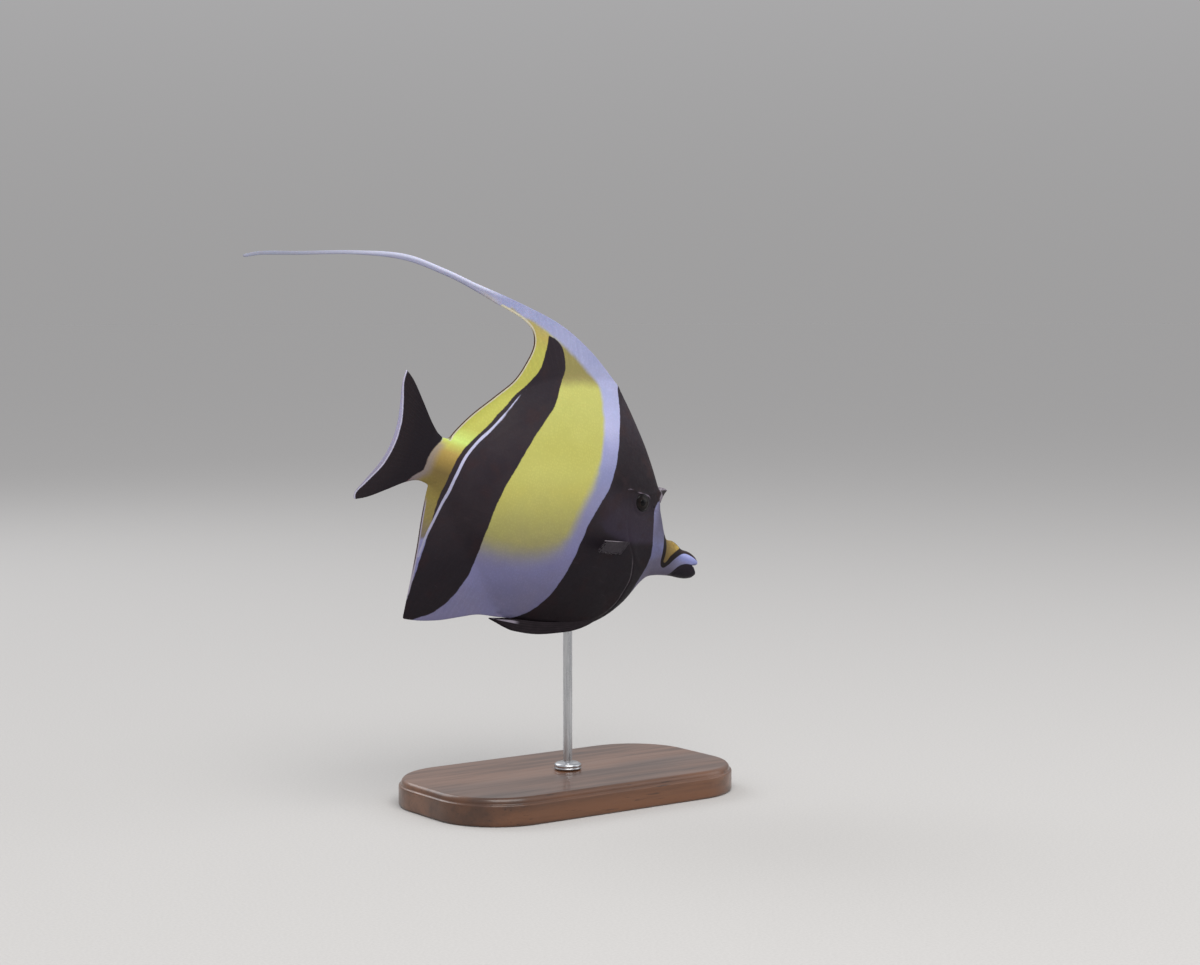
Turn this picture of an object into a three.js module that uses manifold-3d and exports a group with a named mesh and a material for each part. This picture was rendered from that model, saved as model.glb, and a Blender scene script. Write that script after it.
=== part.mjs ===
// A moorish idol, a tall thin reef fish, as a still life-size display model.
// It swims nose-down with its left side away and stands on one rod over a flat base.
// Millimetres, +Z up. The fish faces +X and its left side is +Y.
// The origin is the middle of the base's underside.
//
// The fish is drawn in its own body frame first: x forward from the end of the
// tail stem, z up, y to the left. Its body and its upright fins are one pillow,
// a flat outline in the x-z plane with a half width at every point, which is
// parted into the pieces a person would name by cuts CUT wide.

import * as THREE from 'three';
import { mergeVertices } from 'three/addons/utils/BufferGeometryUtils.js';
import Module from 'manifold-3d';

const wasm = await Module();
wasm.setup();

// ---- driving sizes (mm, degrees) ----
const PITCH = 19.5;              // nose down
const CUT = 0.3;                 // gap between neighbouring pieces
const EDGE = 0.3;                // half thickness at the margin of a fin
const FIN_SWELL = 0.055;         // how fast a fin thickens inward from its margin
const FIN_SWELL_REACH = 20;
const SNOUT_END = 148.7;
const SNOUT_ROUND = 6;           // length over which the snout tip is rounded off

const EYE = { x: 101.2, z: 12.4, radius: 5.1, depth: 3.5, proud: 1.1 };
const HORN = { x: 113.8, z: 20.2, length: 4.3, radius: 3.6, across: 0.55, sink: 1.8 };
const PECTORAL = { front: [99.5, -6.2], rear: [96.0, -13.2], back: -21.4, out: 12.0, down: -4.7, half: 0.4, sink: 2.5 };
const PELVIC = { half: 0.45, rootOut: 3.6, tipOut: 2.4 };

const BASE = { length: 150, width: 84, height: 12, corner: 30, chamfer: 1.2 };
const ROD = { radius: 2.0, x: 88.0, z: -51.0, intoFish: 7, intoBase: 8 };
const COLLAR = { inner: 2.35, outer: 6, height: 3.2 };
const CLEARANCE = 62;            // from the top of the base to where the rod meets the belly

// ---- small helpers ----
const mix = (a, b, t) => a + (b - a) * t;
const clamp = (v, lo, hi) => Math.min(hi, Math.max(lo, v));
const ease = (t) => t * t * (3 - 2 * t);

// value of a curve given as [x, value] rows, eased between them
function table(rows) {
  const at = [...rows].sort((a, b) => a[0] - b[0]);
  const spline = new THREE.SplineCurve(at.map(([x, v]) => new THREE.Vector2(x, v)));
  const samples = spline.getPoints(at.length * 24);
  return (x) => {
    if (x <= samples[0].x) return samples[0].y;
    const last = samples.length - 1;
    if (x >= samples[last].x) return samples[last].y;
    let lo = 0, hi = last;
    while (hi - lo > 1) {
      const mid = (lo + hi) >> 1;
      if (samples[mid].x <= x) lo = mid; else hi = mid;
    }
    const a = samples[lo], b = samples[hi];
    return mix(a.y, b.y, (x - a.x) / Math.max(b.x - a.x, 1e-9));
  };
}

// points about `step` apart along a smooth run through landmarks
function run(landmarks, step) {
  const curve = new THREE.SplineCurve(landmarks.map(([x, z]) => new THREE.Vector2(x, z)));
  return curve.getSpacedPoints(Math.max(2, Math.round(curve.getLength() / step)));
}

// several runs joined end to end into one closed outline
function outlineOf(runs) {
  const points = [];
  for (const piece of runs) points.push(...piece.slice(0, -1));
  return points;
}

// ---- median outline of the fish, run by run, counter-clockwise seen from its right ----
const lipTop = [147.3, -2.2], chinTip = [148.1, -8.7], nape = [77.9, 59.3];
const filamentTip = [-114.9, 49.5], tailTop = [-28.3, 30.9], tailBottom = [-34.6, -27.9];
const stemTop = [1.0, 9.7], stemBottom = [-2.2, -11.6], analTip = [4.2, -68.6], vent = [48.5, -55.6];

const RUNS = {
  forehead: run([lipTop, [145.9, -1.0], [143.6, -0.1], [141.0, 0.4], [138.2, 0.3], [136.0, 0.5], [134.0, 1.3], [132.2, 2.1], [130.0, 2.5], [127.5, 2.1], [124.9, 2.9], [123.0, 5.0], [121.1, 8.0], [119.2, 11.7], [116.7, 16.2], [112.8, 24.4], [102.1, 37.5], [90.4, 48.8], nape], 3.2),
  dorsalFront: run([nape, [60, 68.4], [40, 74.4], [16, 76.2], [-8, 76.4]], 6),
  filamentTop: run([[-8, 76.4], [-24, 76.9], [-44.6, 75.9], [-67.4, 69.0], [-91.3, 59.8], [-103, 55.6]], 6),
  filamentEnd: run([[-103, 55.6], [-108.4, 53.4], [-110.8, 52.1], [-113.0, 50.8], filamentTip, [-114.2, 48.7], [-111.9, 49.9], [-109.6, 51.1], [-107.2, 52.3], [-103, 53.9]], 2.2),
  filamentBottom: run([[-103, 53.9], [-91.3, 58.2], [-67, 67.4], [-43.8, 73.4], [-21.2, 74.2], [-8, 73.3], [4.7, 71.8]], 6),
  dorsalRear: run([[4.7, 71.8], [14, 71.0], [21.5, 69.6], [26.8, 66.8], [29.3, 61.2], [28.2, 53.7], [24.7, 44], [17.7, 34.6], [9.0, 23.6], [3.4, 14.8], stemTop], 4),
  tailUpper: run([stemTop, [-2.9, 9.6], [-8.3, 13.3], [-15.7, 20.6], [-23.1, 27.7], tailTop], 4),
  tailRear: run([tailTop, [-28.3, 25.2], [-26.6, 17.2], [-25.1, 8.3], [-25.4, -0.8], [-27.7, -9.4], [-32.2, -18.6], [-35.3, -25.0], tailBottom], 4),
  tailLower: run([tailBottom, [-28.7, -25.0], [-21.1, -19.6], [-13.3, -13.9], [-7.5, -11.3], stemBottom], 4),
  analRear: run([stemBottom, [-1.9, -17], [-0.7, -27], [1.0, -38], [2.5, -51], analTip], 5),
  analFront: run([analTip, [12, -67.3], [22, -64.4], [32, -60.2], [40, -57.0], vent], 5),
  belly: run([vent, [57, -54.2], [68, -53.6], [80, -52.0], [93, -48.2], [103.8, -41.2], [111.8, -32.2], [116.6, -23.2]], 4),
  throat: run([[116.6, -23.2], [120.4, -18.0], [125.5, -15.2], [133.6, -13.1], [139.1, -12.5], [143.1, -11.8], [146.0, -10.7], [147.4, -9.8], chinTip], 2.6),
  mouth: run([chinTip, [147.9, -7.8], [147.0, -7.0], [145.7, -6.2], [144.5, -5.6], [143.5, -5.1], [144.7, -4.8], [146.0, -4.5], [147.1, -4.0], [147.4, -3.2], lipTop], 0.9),
};
const OUTLINE = outlineOf([
  RUNS.forehead, RUNS.dorsalFront, RUNS.filamentTop, RUNS.filamentEnd, RUNS.filamentBottom, RUNS.dorsalRear,
  RUNS.tailUpper, RUNS.tailRear, RUNS.tailLower, RUNS.analRear, RUNS.analFront,
  RUNS.belly, RUNS.throat, RUNS.mouth,
]);

// ---- half width of the flesh and of the fins ----
const fleshWidth = table([[-9, 1.6], [0, 3.0], [8, 4.3], [20, 7.2], [35, 10.6], [50, 13.0], [65, 14.0], [80, 13.4], [95, 11.2], [108, 8.8], [119, 6.7], [130, 4.9], [140, 3.8], [150, 3.4]]);
const fleshMiddle = table([[-9, -1], [0, -0.6], [20, 1], [50, 3], [80, 4.5], [100, 5.5], [110, 3], [118, -1.5], [126, -4.5], [138, -5.6], [150, -5.6]]);
const fleshTop = table([[-9, 10.5], [1.5, 11.2], [8, 17], [25, 38.2], [50, 54.6], [66, 58.6], [77.9, 59.8], [90.4, 49.2], [102.1, 37.9], [112.8, 24.8], [116.7, 16.6], [121.1, 8.4], [124.9, 3.3], [128.5, 2.8], [132.2, 2.4], [136.5, 0.8], [141, 0.7], [144, 0.1], [150, -2.9]]);
const fleshBottom = table([[-9, -11], [1, -12.2], [12, -21.5], [22, -30.8], [35, -42.5], [45, -50.5], [55, -54.6], [68, -53.9], [80, -52.3], [93, -48.5], [103.8, -41.5], [111.8, -32.5], [116.6, -23.5], [120.4, -18.3], [125.5, -15.5], [133.6, -13.4], [139.1, -12.8], [143.1, -12.1], [150, -9.6]]);
const roundTop = table([[-9, 0.6], [20, 0.9], [80, 0.95], [92, 0.82], [104, 0.68], [114, 0.58], [126, 0.5], [150, 0.5]]);
const roundBottom = table([[-9, 0.6], [20, 0.9], [50, 0.92], [62, 0.75], [90, 0.6], [118, 0.52], [130, 0.5], [150, 0.5]]);

function fleshAt(x, z) {
  const middle = fleshMiddle(x);
  const s = z > middle ? (z - middle) / (fleshTop(x) - middle) : (middle - z) / (middle - fleshBottom(x));
  if (s >= 1 || x < -9) return 0;
  const across = Math.pow(1 - s * s, z > middle ? roundTop(x) : roundBottom(x));
  const tip = clamp((x - (SNOUT_END - SNOUT_ROUND)) / SNOUT_ROUND, 0, 1);
  const tail = clamp((x + 9) / 6, 0, 1);
  return fleshWidth(x) * across * Math.sqrt(Math.max(0, 1 - tip * tip)) * ease(tail);
}

function edgeDistance(x, z, loop) {
  let best = 1e9;
  for (let i = 0; i < loop.length; i++) {
    const a = loop[i], b = loop[(i + 1) % loop.length];
    const dx = b.x - a.x, dz = b.y - a.y;
    const t = clamp(((x - a.x) * dx + (z - a.y) * dz) / (dx * dx + dz * dz), 0, 1);
    best = Math.min(best, Math.hypot(x - a.x - t * dx, z - a.y - t * dz));
  }
  return best;
}

function inside(x, z, loop) {
  let hit = false;
  for (let i = 0, j = loop.length - 1; i < loop.length; j = i++) {
    const a = loop[i], b = loop[j];
    if ((a.y > z) !== (b.y > z) && x < a.x + ((z - a.y) * (b.x - a.x)) / (b.y - a.y)) hit = !hit;
  }
  return hit;
}

const marginHalf = (x) => EDGE + 0.25 * clamp((10 - x) / 20, 0, 1) * clamp((x + 70) / 60, 0, 1);

function halfWidth(x, z) {
  const fin = EDGE + FIN_SWELL * Math.min(edgeDistance(x, z, OUTLINE), FIN_SWELL_REACH);
  return Math.hypot(fleshAt(x, z), fin);
}

// ---- a flat triangle mesh inside a loop, with points put in one at a time ----
class FlatMesh {
  constructor(loop) {
    this.points = loop.map((p) => new THREE.Vector2(p.x, p.y));
    this.edges = new Map();
    this.faces = new Set();
    this.rim = loop.length;
    for (const [a, b, c] of THREE.ShapeUtils.triangulateShape(this.points, [])) this.addFace(a, b, c);
    for (const face of [...this.faces]) {
      if (!this.faces.has(face)) continue;
      this.settle([[face[0], face[1]], [face[1], face[2]], [face[2], face[0]]]);
    }
  }
  turn(a, b, c) {
    const p = this.points;
    return (p[b].x - p[a].x) * (p[c].y - p[a].y) - (p[b].y - p[a].y) * (p[c].x - p[a].x);
  }
  addFace(a, b, c) {
    if (this.turn(a, b, c) < 0) [b, c] = [c, b];
    const face = [a, b, c];
    this.faces.add(face);
    for (const [u, v] of [[a, b], [b, c], [c, a]]) this.edges.set(u * 65536 + v, face);
    return face;
  }
  dropFace(face) {
    this.faces.delete(face);
    for (let i = 0; i < 3; i++) this.edges.delete(face[i] * 65536 + face[(i + 1) % 3]);
  }
  circleHolds(a, b, c, d) {
    const p = this.points;
    const ax = p[a].x - p[d].x, ay = p[a].y - p[d].y, bx = p[b].x - p[d].x, by = p[b].y - p[d].y;
    const cx = p[c].x - p[d].x, cy = p[c].y - p[d].y;
    return (ax * ax + ay * ay) * (bx * cy - cx * by) - (bx * bx + by * by) * (ax * cy - cx * ay) + (cx * cx + cy * cy) * (ax * by - bx * ay) > 1e-7;
  }
  settle(queue) {
    while (queue.length) {
      const [a, b] = queue.pop();
      const one = this.edges.get(a * 65536 + b), two = this.edges.get(b * 65536 + a);
      if (!one || !two) continue;
      const c = one.find((v) => v !== a && v !== b), d = two.find((v) => v !== a && v !== b);
      if (!this.circleHolds(a, b, c, d) || this.turn(a, d, c) <= 1e-9 || this.turn(d, b, c) <= 1e-9) continue;
      this.dropFace(one);
      this.dropFace(two);
      this.addFace(a, d, c);
      this.addFace(d, b, c);
      queue.push([a, d], [d, b], [b, c], [c, a]);
    }
  }
  insert(x, y) {
    const n = this.points.push(new THREE.Vector2(x, y)) - 1;
    for (const face of this.faces) {
      const [a, b, c] = face;
      if (this.turn(a, b, n) > 1e-6 && this.turn(b, c, n) > 1e-6 && this.turn(c, a, n) > 1e-6) {
        this.dropFace(face);
        this.addFace(a, b, n);
        this.addFace(b, c, n);
        this.addFace(c, a, n);
        this.settle([[a, b], [b, c], [c, a]]);
        return;
      }
    }
    this.points.pop();
  }
}

// points inside a loop, spacing(x, z) apart, with closer rows along a round edge
function scatter(loop, spacing, rows) {
  const kept = [];
  const cell = 8, grid = new Map();
  const near = (x, z, gap) => {
    const i = Math.floor(x / cell), j = Math.floor(z / cell);
    for (let u = i - 1; u <= i + 1; u++) for (let v = j - 1; v <= j + 1; v++) {
      for (const q of grid.get(`${u},${v}`) || []) if (Math.hypot(q[0] - x, q[1] - z) < gap) return true;
    }
    return false;
  };
  const keep = (x, z) => {
    kept.push([x, z]);
    const key = `${Math.floor(x / cell)},${Math.floor(z / cell)}`;
    grid.set(key, [...(grid.get(key) || []), [x, z]]);
  };
  for (const { inset, from, gap } of rows) {
    for (let i = 0; i < loop.length; i++) {
      const a = loop[(i + loop.length - 1) % loop.length], b = loop[i], c = loop[(i + 1) % loop.length];
      if (!from(b.x, b.y)) continue;
      const dx = c.x - a.x, dz = c.y - a.y, l = Math.hypot(dx, dz);
      const x = b.x - (dz / l) * inset, z = b.y + (dx / l) * inset;
      if (!inside(x, z, loop) || edgeDistance(x, z, loop) < inset * 0.93 || near(x, z, gap)) continue;
      keep(x, z);
    }
  }
  const xs = loop.map((p) => p.x), zs = loop.map((p) => p.y);
  const fine = 1.1;
  let row = 0;
  for (let z = Math.min(...zs); z < Math.max(...zs); z += fine * 0.866, row++) {
    for (let x = Math.min(...xs) + (row % 2) * fine * 0.5; x < Math.max(...xs); x += fine) {
      const h = spacing(x, z);
      const jx = x + 0.07 * Math.sin(12.9 * x + 4.1 * z), jz = z + 0.07 * Math.cos(7.7 * x - 9.3 * z);
      if (!inside(jx, jz, loop) || edgeDistance(jx, jz, loop) < 0.6 * h || near(jx, jz, h)) continue;
      keep(jx, jz);
    }
  }
  return kept;
}

// closed solid of a flat mesh: y runs from -half to +half at every point
function pillow(flat, half, rimHalf) {
  const n = flat.points.length, position = new Float32Array(n * 6), index = [];
  flat.points.forEach((p, i) => {
    const y = i < flat.rim ? rimHalf(p.x, p.y) : half(p.x, p.y);
    position.set([p.x, -y, p.y], i * 3);
    position.set([p.x, y, p.y], (n + i) * 3);
  });
  for (const [a, b, c] of flat.faces) index.push(a, b, c, n + c, n + b, n + a);
  for (let i = 0; i < flat.rim; i++) {
    const j = (i + 1) % flat.rim;
    index.push(j, i, n + i, j, n + i, n + j);
  }
  const geometry = new THREE.BufferGeometry();
  geometry.setAttribute('position', new THREE.BufferAttribute(position, 3));
  geometry.setIndex(index);
  return geometry;
}

// ---- solids ----
function solid(geometry) {
  const bare = geometry.clone();
  for (const name of Object.keys(bare.attributes)) if (name !== 'position') bare.deleteAttribute(name);
  const merged = mergeVertices(bare, 1e-4);
  return new wasm.Manifold(new wasm.Mesh({
    numProp: 3,
    vertProperties: new Float32Array(merged.attributes.position.array),
    triVerts: new Uint32Array(merged.index.array),
  }));
}

function geometryOf(manifold) {
  const mesh = manifold.getMesh();
  const geometry = new THREE.BufferGeometry();
  geometry.setAttribute('position', new THREE.BufferAttribute(new Float32Array(mesh.vertProperties), 3));
  geometry.setIndex(new THREE.BufferAttribute(new Uint32Array(mesh.triVerts), 1));
  return geometry;
}

// a thin upright wall along a curve in the x-z plane, used to part the body
function blade(landmarks) {
  const middle = run(landmarks, 4);
  const side = (sign) => middle.map((p, i) => {
    const a = middle[Math.max(0, i - 1)], b = middle[Math.min(middle.length - 1, i + 1)];
    const l = Math.hypot(b.x - a.x, b.y - a.y);
    return new THREE.Vector2(p.x - sign * ((b.y - a.y) / l) * CUT / 2, p.y + sign * ((b.x - a.x) / l) * CUT / 2);
  });
  const shape = new THREE.Shape([...side(1), ...side(-1).reverse()]);
  return solid(new THREE.ExtrudeGeometry(shape, { depth: 60, bevelEnabled: false, steps: 1 }).rotateX(Math.PI / 2).translate(0, 30, 0));
}

// pieces of a manifold after a cut, largest first
function parts(manifold) {
  return manifold.decompose().sort((a, b) => b.volume() - a.volume());
}
const centre = (m) => {
  const box = m.boundingBox();
  return [0, 1, 2].map((k) => (box.min[k] + box.max[k]) / 2);
};

// ---- the whole body with its upright fins ----
const head = (x) => x > 96;
const spacing = (x, z) => {
  if (x < -2 && z > 40) return 8;
  if (x > 120) return 2.7;
  if (x > 95) return 4.2;
  if (x < 16 && Math.abs(z) < 24) return 5;
  return 7.2;
};
const flat = new FlatMesh(OUTLINE);
for (const [x, z] of scatter(OUTLINE, spacing, [
  { inset: 0.35, from: (x, z) => head(x) && !(x < 100 && z > 0), gap: 0.3 },
  { inset: 1.1, from: (x) => x > 86, gap: 0.6 },
  { inset: 2.6, from: (x, z) => x > 80 || (z < -40 && x > 56), gap: 1.5 },
])) flat.insert(x, z);

const rim = (extra) => (x, z) => Math.max(marginHalf(x), z > 60 || x < 90 ? marginHalf(x) : EDGE) + extra;
const whole = solid(pillow(flat, halfWidth, rim(0)));
const swollen = solid(pillow(flat, (x, z) => halfWidth(x, z) + CUT, rim(CUT)));

// ---- cuts between the named pieces ----
const dorsalCut = blade([[86, 66], [80, 60.6], [72, 58.6], [60, 56.4], [50, 53.2], [37, 46.2], [25, 36.6], [14, 24.6], [6, 15.2], [1.6, 12.6], [-4, 12.4]]);
const analCut = blade([[52, -62], [49.6, -56], [45, -50.5], [35, -42.3], [22, -30.6], [12, -21.5], [5, -15.4], [-1, -13.6], [-5, -14.2]]);
const tailCut = blade([[-3.4, 15], [-3.4, 9], [-6.3, 0.7], [-8.2, -5.8], [-12.2, -11.2], [-13.6, -17]]);
const filamentCut = blade([[6, 66], [6, 81]]);
const stemCut = blade([[13.5, 34], [12.5, 10], [12.5, -10], [13.5, -34]]);
const gillCut = blade([[80, 66], [84, 56], [88.5, 46], [91.6, 34], [92.9, 22], [93.4, 10], [95.8, 1], [100.4, -6], [104, -16], [107.8, -26], [112.5, -34.5], [119, -41]]);
const snoutCut = blade([[117, 19], [120.2, 9], [122.4, 0], [123.4, -9], [123.6, -22]]);
const jawCut = blade([[152, -5.3], [143.5, -5.1], [141, -5.8], [137.6, -7.4], [135, -10.2], [132.6, -16.5]]);

const [body, ...upright] = parts(whole.subtract(dorsalCut).subtract(analCut).subtract(tailCut));
const dorsalWhole = upright.find((m) => centre(m)[2] > 30);
const analFin = upright.find((m) => centre(m)[2] < -20 && centre(m)[0] > 0);
const caudalFin = upright.find((m) => centre(m)[0] < -8 && Math.abs(centre(m)[2]) < 20);
const [dorsalFin, filament] = parts(dorsalWhole.subtract(filamentCut));
const [trunkAndHead, tailStem] = parts(body.subtract(stemCut));
const [trunkWhole, headWhole] = parts(trunkAndHead.subtract(gillCut));
const [headPlain, snoutWhole] = parts(headWhole.subtract(snoutCut));
const [snout, lowerJaw] = parts(snoutWhole.subtract(jawCut));

// ---- eyes, set in sockets in the head ----
function eyeball(side, grow) {
  const out = halfWidth(EYE.x, EYE.z) + EYE.proud - EYE.depth;
  return new THREE.SphereGeometry(1, 20, 12)
    .scale(EYE.radius + grow, EYE.radius + grow, EYE.depth + grow)
    .rotateX(Math.PI / 2)
    .translate(EYE.x, side * out, EYE.z);
}
const headWithSockets = headPlain.subtract(solid(eyeball(1, CUT))).subtract(solid(eyeball(-1, CUT)));

// ---- a little horn in front of each eye ----
function hornSolid(side) {
  const profile = [];
  for (let i = 0; i <= 7; i++) {
    const t = i / 7;
    profile.push(new THREE.Vector2(i === 7 ? 0 : HORN.radius * Math.pow(1 - t, 0.62), t * (HORN.length + HORN.sink)));
  }
  profile.unshift(new THREE.Vector2(0, 0));
  const cone = new THREE.LatheGeometry(profile, 10);
  const aim = new THREE.Vector3(0.7, side * 0.45, 0.7).normalize();
  // taller than wide: its flat sides face left and right
  const tall = new THREE.Vector3(0, 0, 1).addScaledVector(aim, -aim.z).normalize();
  const wide = new THREE.Vector3().crossVectors(aim, tall).multiplyScalar(HORN.across);
  const foot = new THREE.Vector3(HORN.x, side * halfWidth(HORN.x, HORN.z), HORN.z).addScaledVector(aim, -HORN.sink);
  cone.applyMatrix4(new THREE.Matrix4().makeBasis(wide, aim, tall)).translate(foot.x, foot.y, foot.z);
  return parts(solid(cone).subtract(swollen))[0];
}

// ---- paired fins: thin blades between a root and a margin ----
// rays: rows from root to margin, one per fin ray; each row is a list of points
function membrane(rays, half) {
  const across = rays.length, along = rays[0].length, position = [], index = [];
  const normalAt = (i, j) => {
    const a = rays[Math.max(0, i - 1)][j], b = rays[Math.min(across - 1, i + 1)][j];
    const c = rays[i][Math.max(0, j - 1)], d = rays[i][Math.min(along - 1, j + 1)];
    return new THREE.Vector3().subVectors(b, a).cross(new THREE.Vector3().subVectors(d, c)).normalize();
  };
  for (const sign of [1, -1]) {
    for (let i = 0; i < across; i++) for (let j = 0; j < along; j++) {
      const p = rays[i][j].clone().addScaledVector(normalAt(i, j), sign * half(i / (across - 1), j / (along - 1)));
      position.push(p.x, p.y, p.z);
    }
  }
  const at = (s, i, j) => s * across * along + i * along + j;
  for (let i = 0; i + 1 < across; i++) for (let j = 0; j + 1 < along; j++) {
    index.push(at(0, i, j), at(0, i + 1, j), at(0, i + 1, j + 1), at(0, i, j), at(0, i + 1, j + 1), at(0, i, j + 1));
    index.push(at(1, i, j), at(1, i + 1, j + 1), at(1, i + 1, j), at(1, i, j), at(1, i, j + 1), at(1, i + 1, j + 1));
  }
  const rimLoop = [];
  for (let i = 0; i < across; i++) rimLoop.push([i, 0]);
  for (let j = 1; j < along; j++) rimLoop.push([across - 1, j]);
  for (let i = across - 2; i >= 0; i--) rimLoop.push([i, along - 1]);
  for (let j = along - 2; j > 0; j--) rimLoop.push([0, j]);
  for (let k = 0; k < rimLoop.length; k++) {
    const [a, b] = rimLoop[k], [c, d] = rimLoop[(k + 1) % rimLoop.length];
    index.push(at(0, c, d), at(0, a, b), at(1, a, b), at(0, c, d), at(1, a, b), at(1, c, d));
  }
  const geometry = new THREE.BufferGeometry();
  geometry.setAttribute('position', new THREE.BufferAttribute(new Float32Array(position), 3));
  geometry.setIndex(index);
  return geometry;
}

function outward(geometry) {
  const made = solid(geometry);
  if (made.volume() > 0) return made;
  const flipped = geometry.clone();
  const index = [...flipped.index.array];
  for (let i = 0; i < index.length; i += 3) [index[i + 1], index[i + 2]] = [index[i + 2], index[i + 1]];
  flipped.setIndex(index);
  return solid(flipped);
}

// pectoral fin: held out and back from just behind the gill opening
function pectoral(side) {
  const rays = [];
  const count = 9, steps = 7;
  for (let i = 0; i < count; i++) {
    const s = i / (count - 1);
    const x0 = mix(PECTORAL.front[0], PECTORAL.rear[0], s), z0 = mix(PECTORAL.front[1], PECTORAL.rear[1], s);
    const reach = 1 - 0.03 * s * s;
    const aim = new THREE.Vector3(
      PECTORAL.back * mix(1, 0.87, s), side * PECTORAL.out * mix(1, 0.75, s), PECTORAL.down + 1.2 * s,
    ).multiplyScalar(reach);
    const root = new THREE.Vector3(x0, side * halfWidth(x0, z0), z0);
    const row = [];
    for (let j = 0; j < steps; j++) {
      const t = j / (steps - 1);
      const p = root.clone().addScaledVector(aim, mix(-PECTORAL.sink / aim.length(), 1, t));
      p.y += side * 1.6 * Math.sin(Math.PI * clamp(t, 0, 1)) * 0.5;
      row.push(p);
    }
    rays.push(row);
  }
  return parts(outward(membrane(rays, () => PECTORAL.half)).subtract(swollen))[0];
}

// pelvic fin: a long narrow blade folded back under the belly
const pelvicUpper = table([[47, -56.7], [51, -55.7], [56, -54.5], [62, -53.5], [72, -51.8], [84, -48.4], [94, -43.8], [101, -39.4]]);
const pelvicLower = table([[47, -57.2], [51, -57.7], [56, -58.5], [62, -58.8], [72, -57.1], [84, -53.0], [90, -50.3], [95.5, -46.9], [101, -42.6]]);
function pelvic(side) {
  const rays = [];
  for (let i = 0; i < 4; i++) {
    const row = [];
    for (let j = 0; j < 15; j++) {
      const t = j / 14, x = mix(100.5, 47.2, t), s = i / 3;
      const z = mix(pelvicUpper(x), pelvicLower(x), s);
      const clear = halfWidth(x, mix(pelvicUpper(x), pelvicLower(x), 0.0)) + CUT + PELVIC.half + 0.3 * clamp(t * 8, 0, 1);
      const y = Math.max(mix(PELVIC.rootOut, PELVIC.tipOut, t) - 0.8 * s, mix(clear, 0, Math.min(1, s * 1.4)));
      row.push(new THREE.Vector3(x, side * Math.max(1.25, y), z));
    }
    rays.push(row);
  }
  return parts(outward(membrane(rays, () => PELVIC.half)).subtract(swollen))[0];
}

// ---- place the fish over its base ----
const lean = THREE.MathUtils.degToRad(PITCH);
const toRow = (x, z) => [x * Math.cos(lean) + z * Math.sin(lean), -x * Math.sin(lean) + z * Math.cos(lean)];
const [rodX, bellyZ] = toRow(ROD.x, ROD.z);
const lift = BASE.height + CLEARANCE - bellyZ;

const fish = new THREE.Group();
fish.rotation.y = lean;
fish.position.set(-rodX, 0, lift);

// the rod's hole in the belly, made in the body frame
const holeTop = BASE.height + CLEARANCE + ROD.intoFish;
function upright_cylinder(radius, from, to) {
  return new THREE.CylinderGeometry(radius, radius, to - from, 24).rotateX(Math.PI / 2).translate(0, 0, (from + to) / 2);
}
const hole = upright_cylinder(ROD.radius + CUT, BASE.height + 20, holeTop + CUT);
fish.updateMatrixWorld(true);
hole.applyMatrix4(fish.matrixWorld.clone().invert());
const trunk = parts(trunkWhole.subtract(solid(hole)))[0];

// ---- colours ----
const BLACK = [0x2a2528, 0.45], WHITE = [0xc9c8dc, 0.45], YELLOW = [0xd8c860, 0.45], GOLD = [0xc99f3a, 0.4], SMOKE = [0x5c5a62, 0.4];
const skin = ([colour, roughness]) => new THREE.MeshStandardMaterial({ color: colour, roughness, metalness: 0 });

function add(group, name, geometry, material) {
  const mesh = new THREE.Mesh(geometry, material);
  mesh.name = name;
  group.add(mesh);
}

add(fish, 'head', geometryOf(headWithSockets), skin(BLACK));
add(fish, 'snout', geometryOf(snout), skin(GOLD));
add(fish, 'lower_jaw', geometryOf(lowerJaw), skin(BLACK));
add(fish, 'trunk', geometryOf(trunk), skin(YELLOW));
add(fish, 'tail_stem', geometryOf(tailStem), skin(YELLOW));
add(fish, 'dorsal_fin', geometryOf(dorsalFin), skin(WHITE));
add(fish, 'dorsal_filament', geometryOf(filament), skin(WHITE));
add(fish, 'anal_fin', geometryOf(analFin), skin(BLACK));
add(fish, 'caudal_fin', geometryOf(caudalFin), skin(BLACK));
for (const [side, word] of [[1, 'left'], [-1, 'right']]) {
  add(fish, `pectoral_fin_${word}`, geometryOf(pectoral(side)), skin(SMOKE));
  add(fish, `pelvic_fin_${word}`, geometryOf(pelvic(side)), skin(BLACK));
  add(fish, `eye_${word}`, eyeball(side, 0), new THREE.MeshStandardMaterial({ color: 0x1a1416, roughness: 0.08, metalness: 0 }));
  add(fish, `horn_${word}`, geometryOf(hornSolid(side)), skin(SMOKE));
}

// ---- the display stand ----
const plate = new THREE.Shape();
{
  const x = BASE.length / 2 - BASE.chamfer, y = BASE.width / 2 - BASE.chamfer, r = BASE.corner;
  plate.moveTo(-x + r, -y);
  plate.lineTo(x - r, -y);
  plate.absarc(x - r, -y + r, r, -Math.PI / 2, 0);
  plate.lineTo(x, y - r);
  plate.absarc(x - r, y - r, r, 0, Math.PI / 2);
  plate.lineTo(-x + r, y);
  plate.absarc(-x + r, y - r, r, Math.PI / 2, Math.PI);
  plate.lineTo(-x, -y + r);
  plate.absarc(-x + r, -y + r, r, Math.PI, Math.PI * 1.5);
}
const block = new THREE.ExtrudeGeometry(plate, {
  depth: BASE.height - 2 * BASE.chamfer, steps: 1, curveSegments: 10,
  bevelEnabled: true, bevelThickness: BASE.chamfer, bevelSize: BASE.chamfer, bevelSegments: 1,
}).translate(0, 0, BASE.chamfer);
const socket = upright_cylinder(ROD.radius + CUT, BASE.height - ROD.intoBase - CUT, BASE.height + 5);

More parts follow.
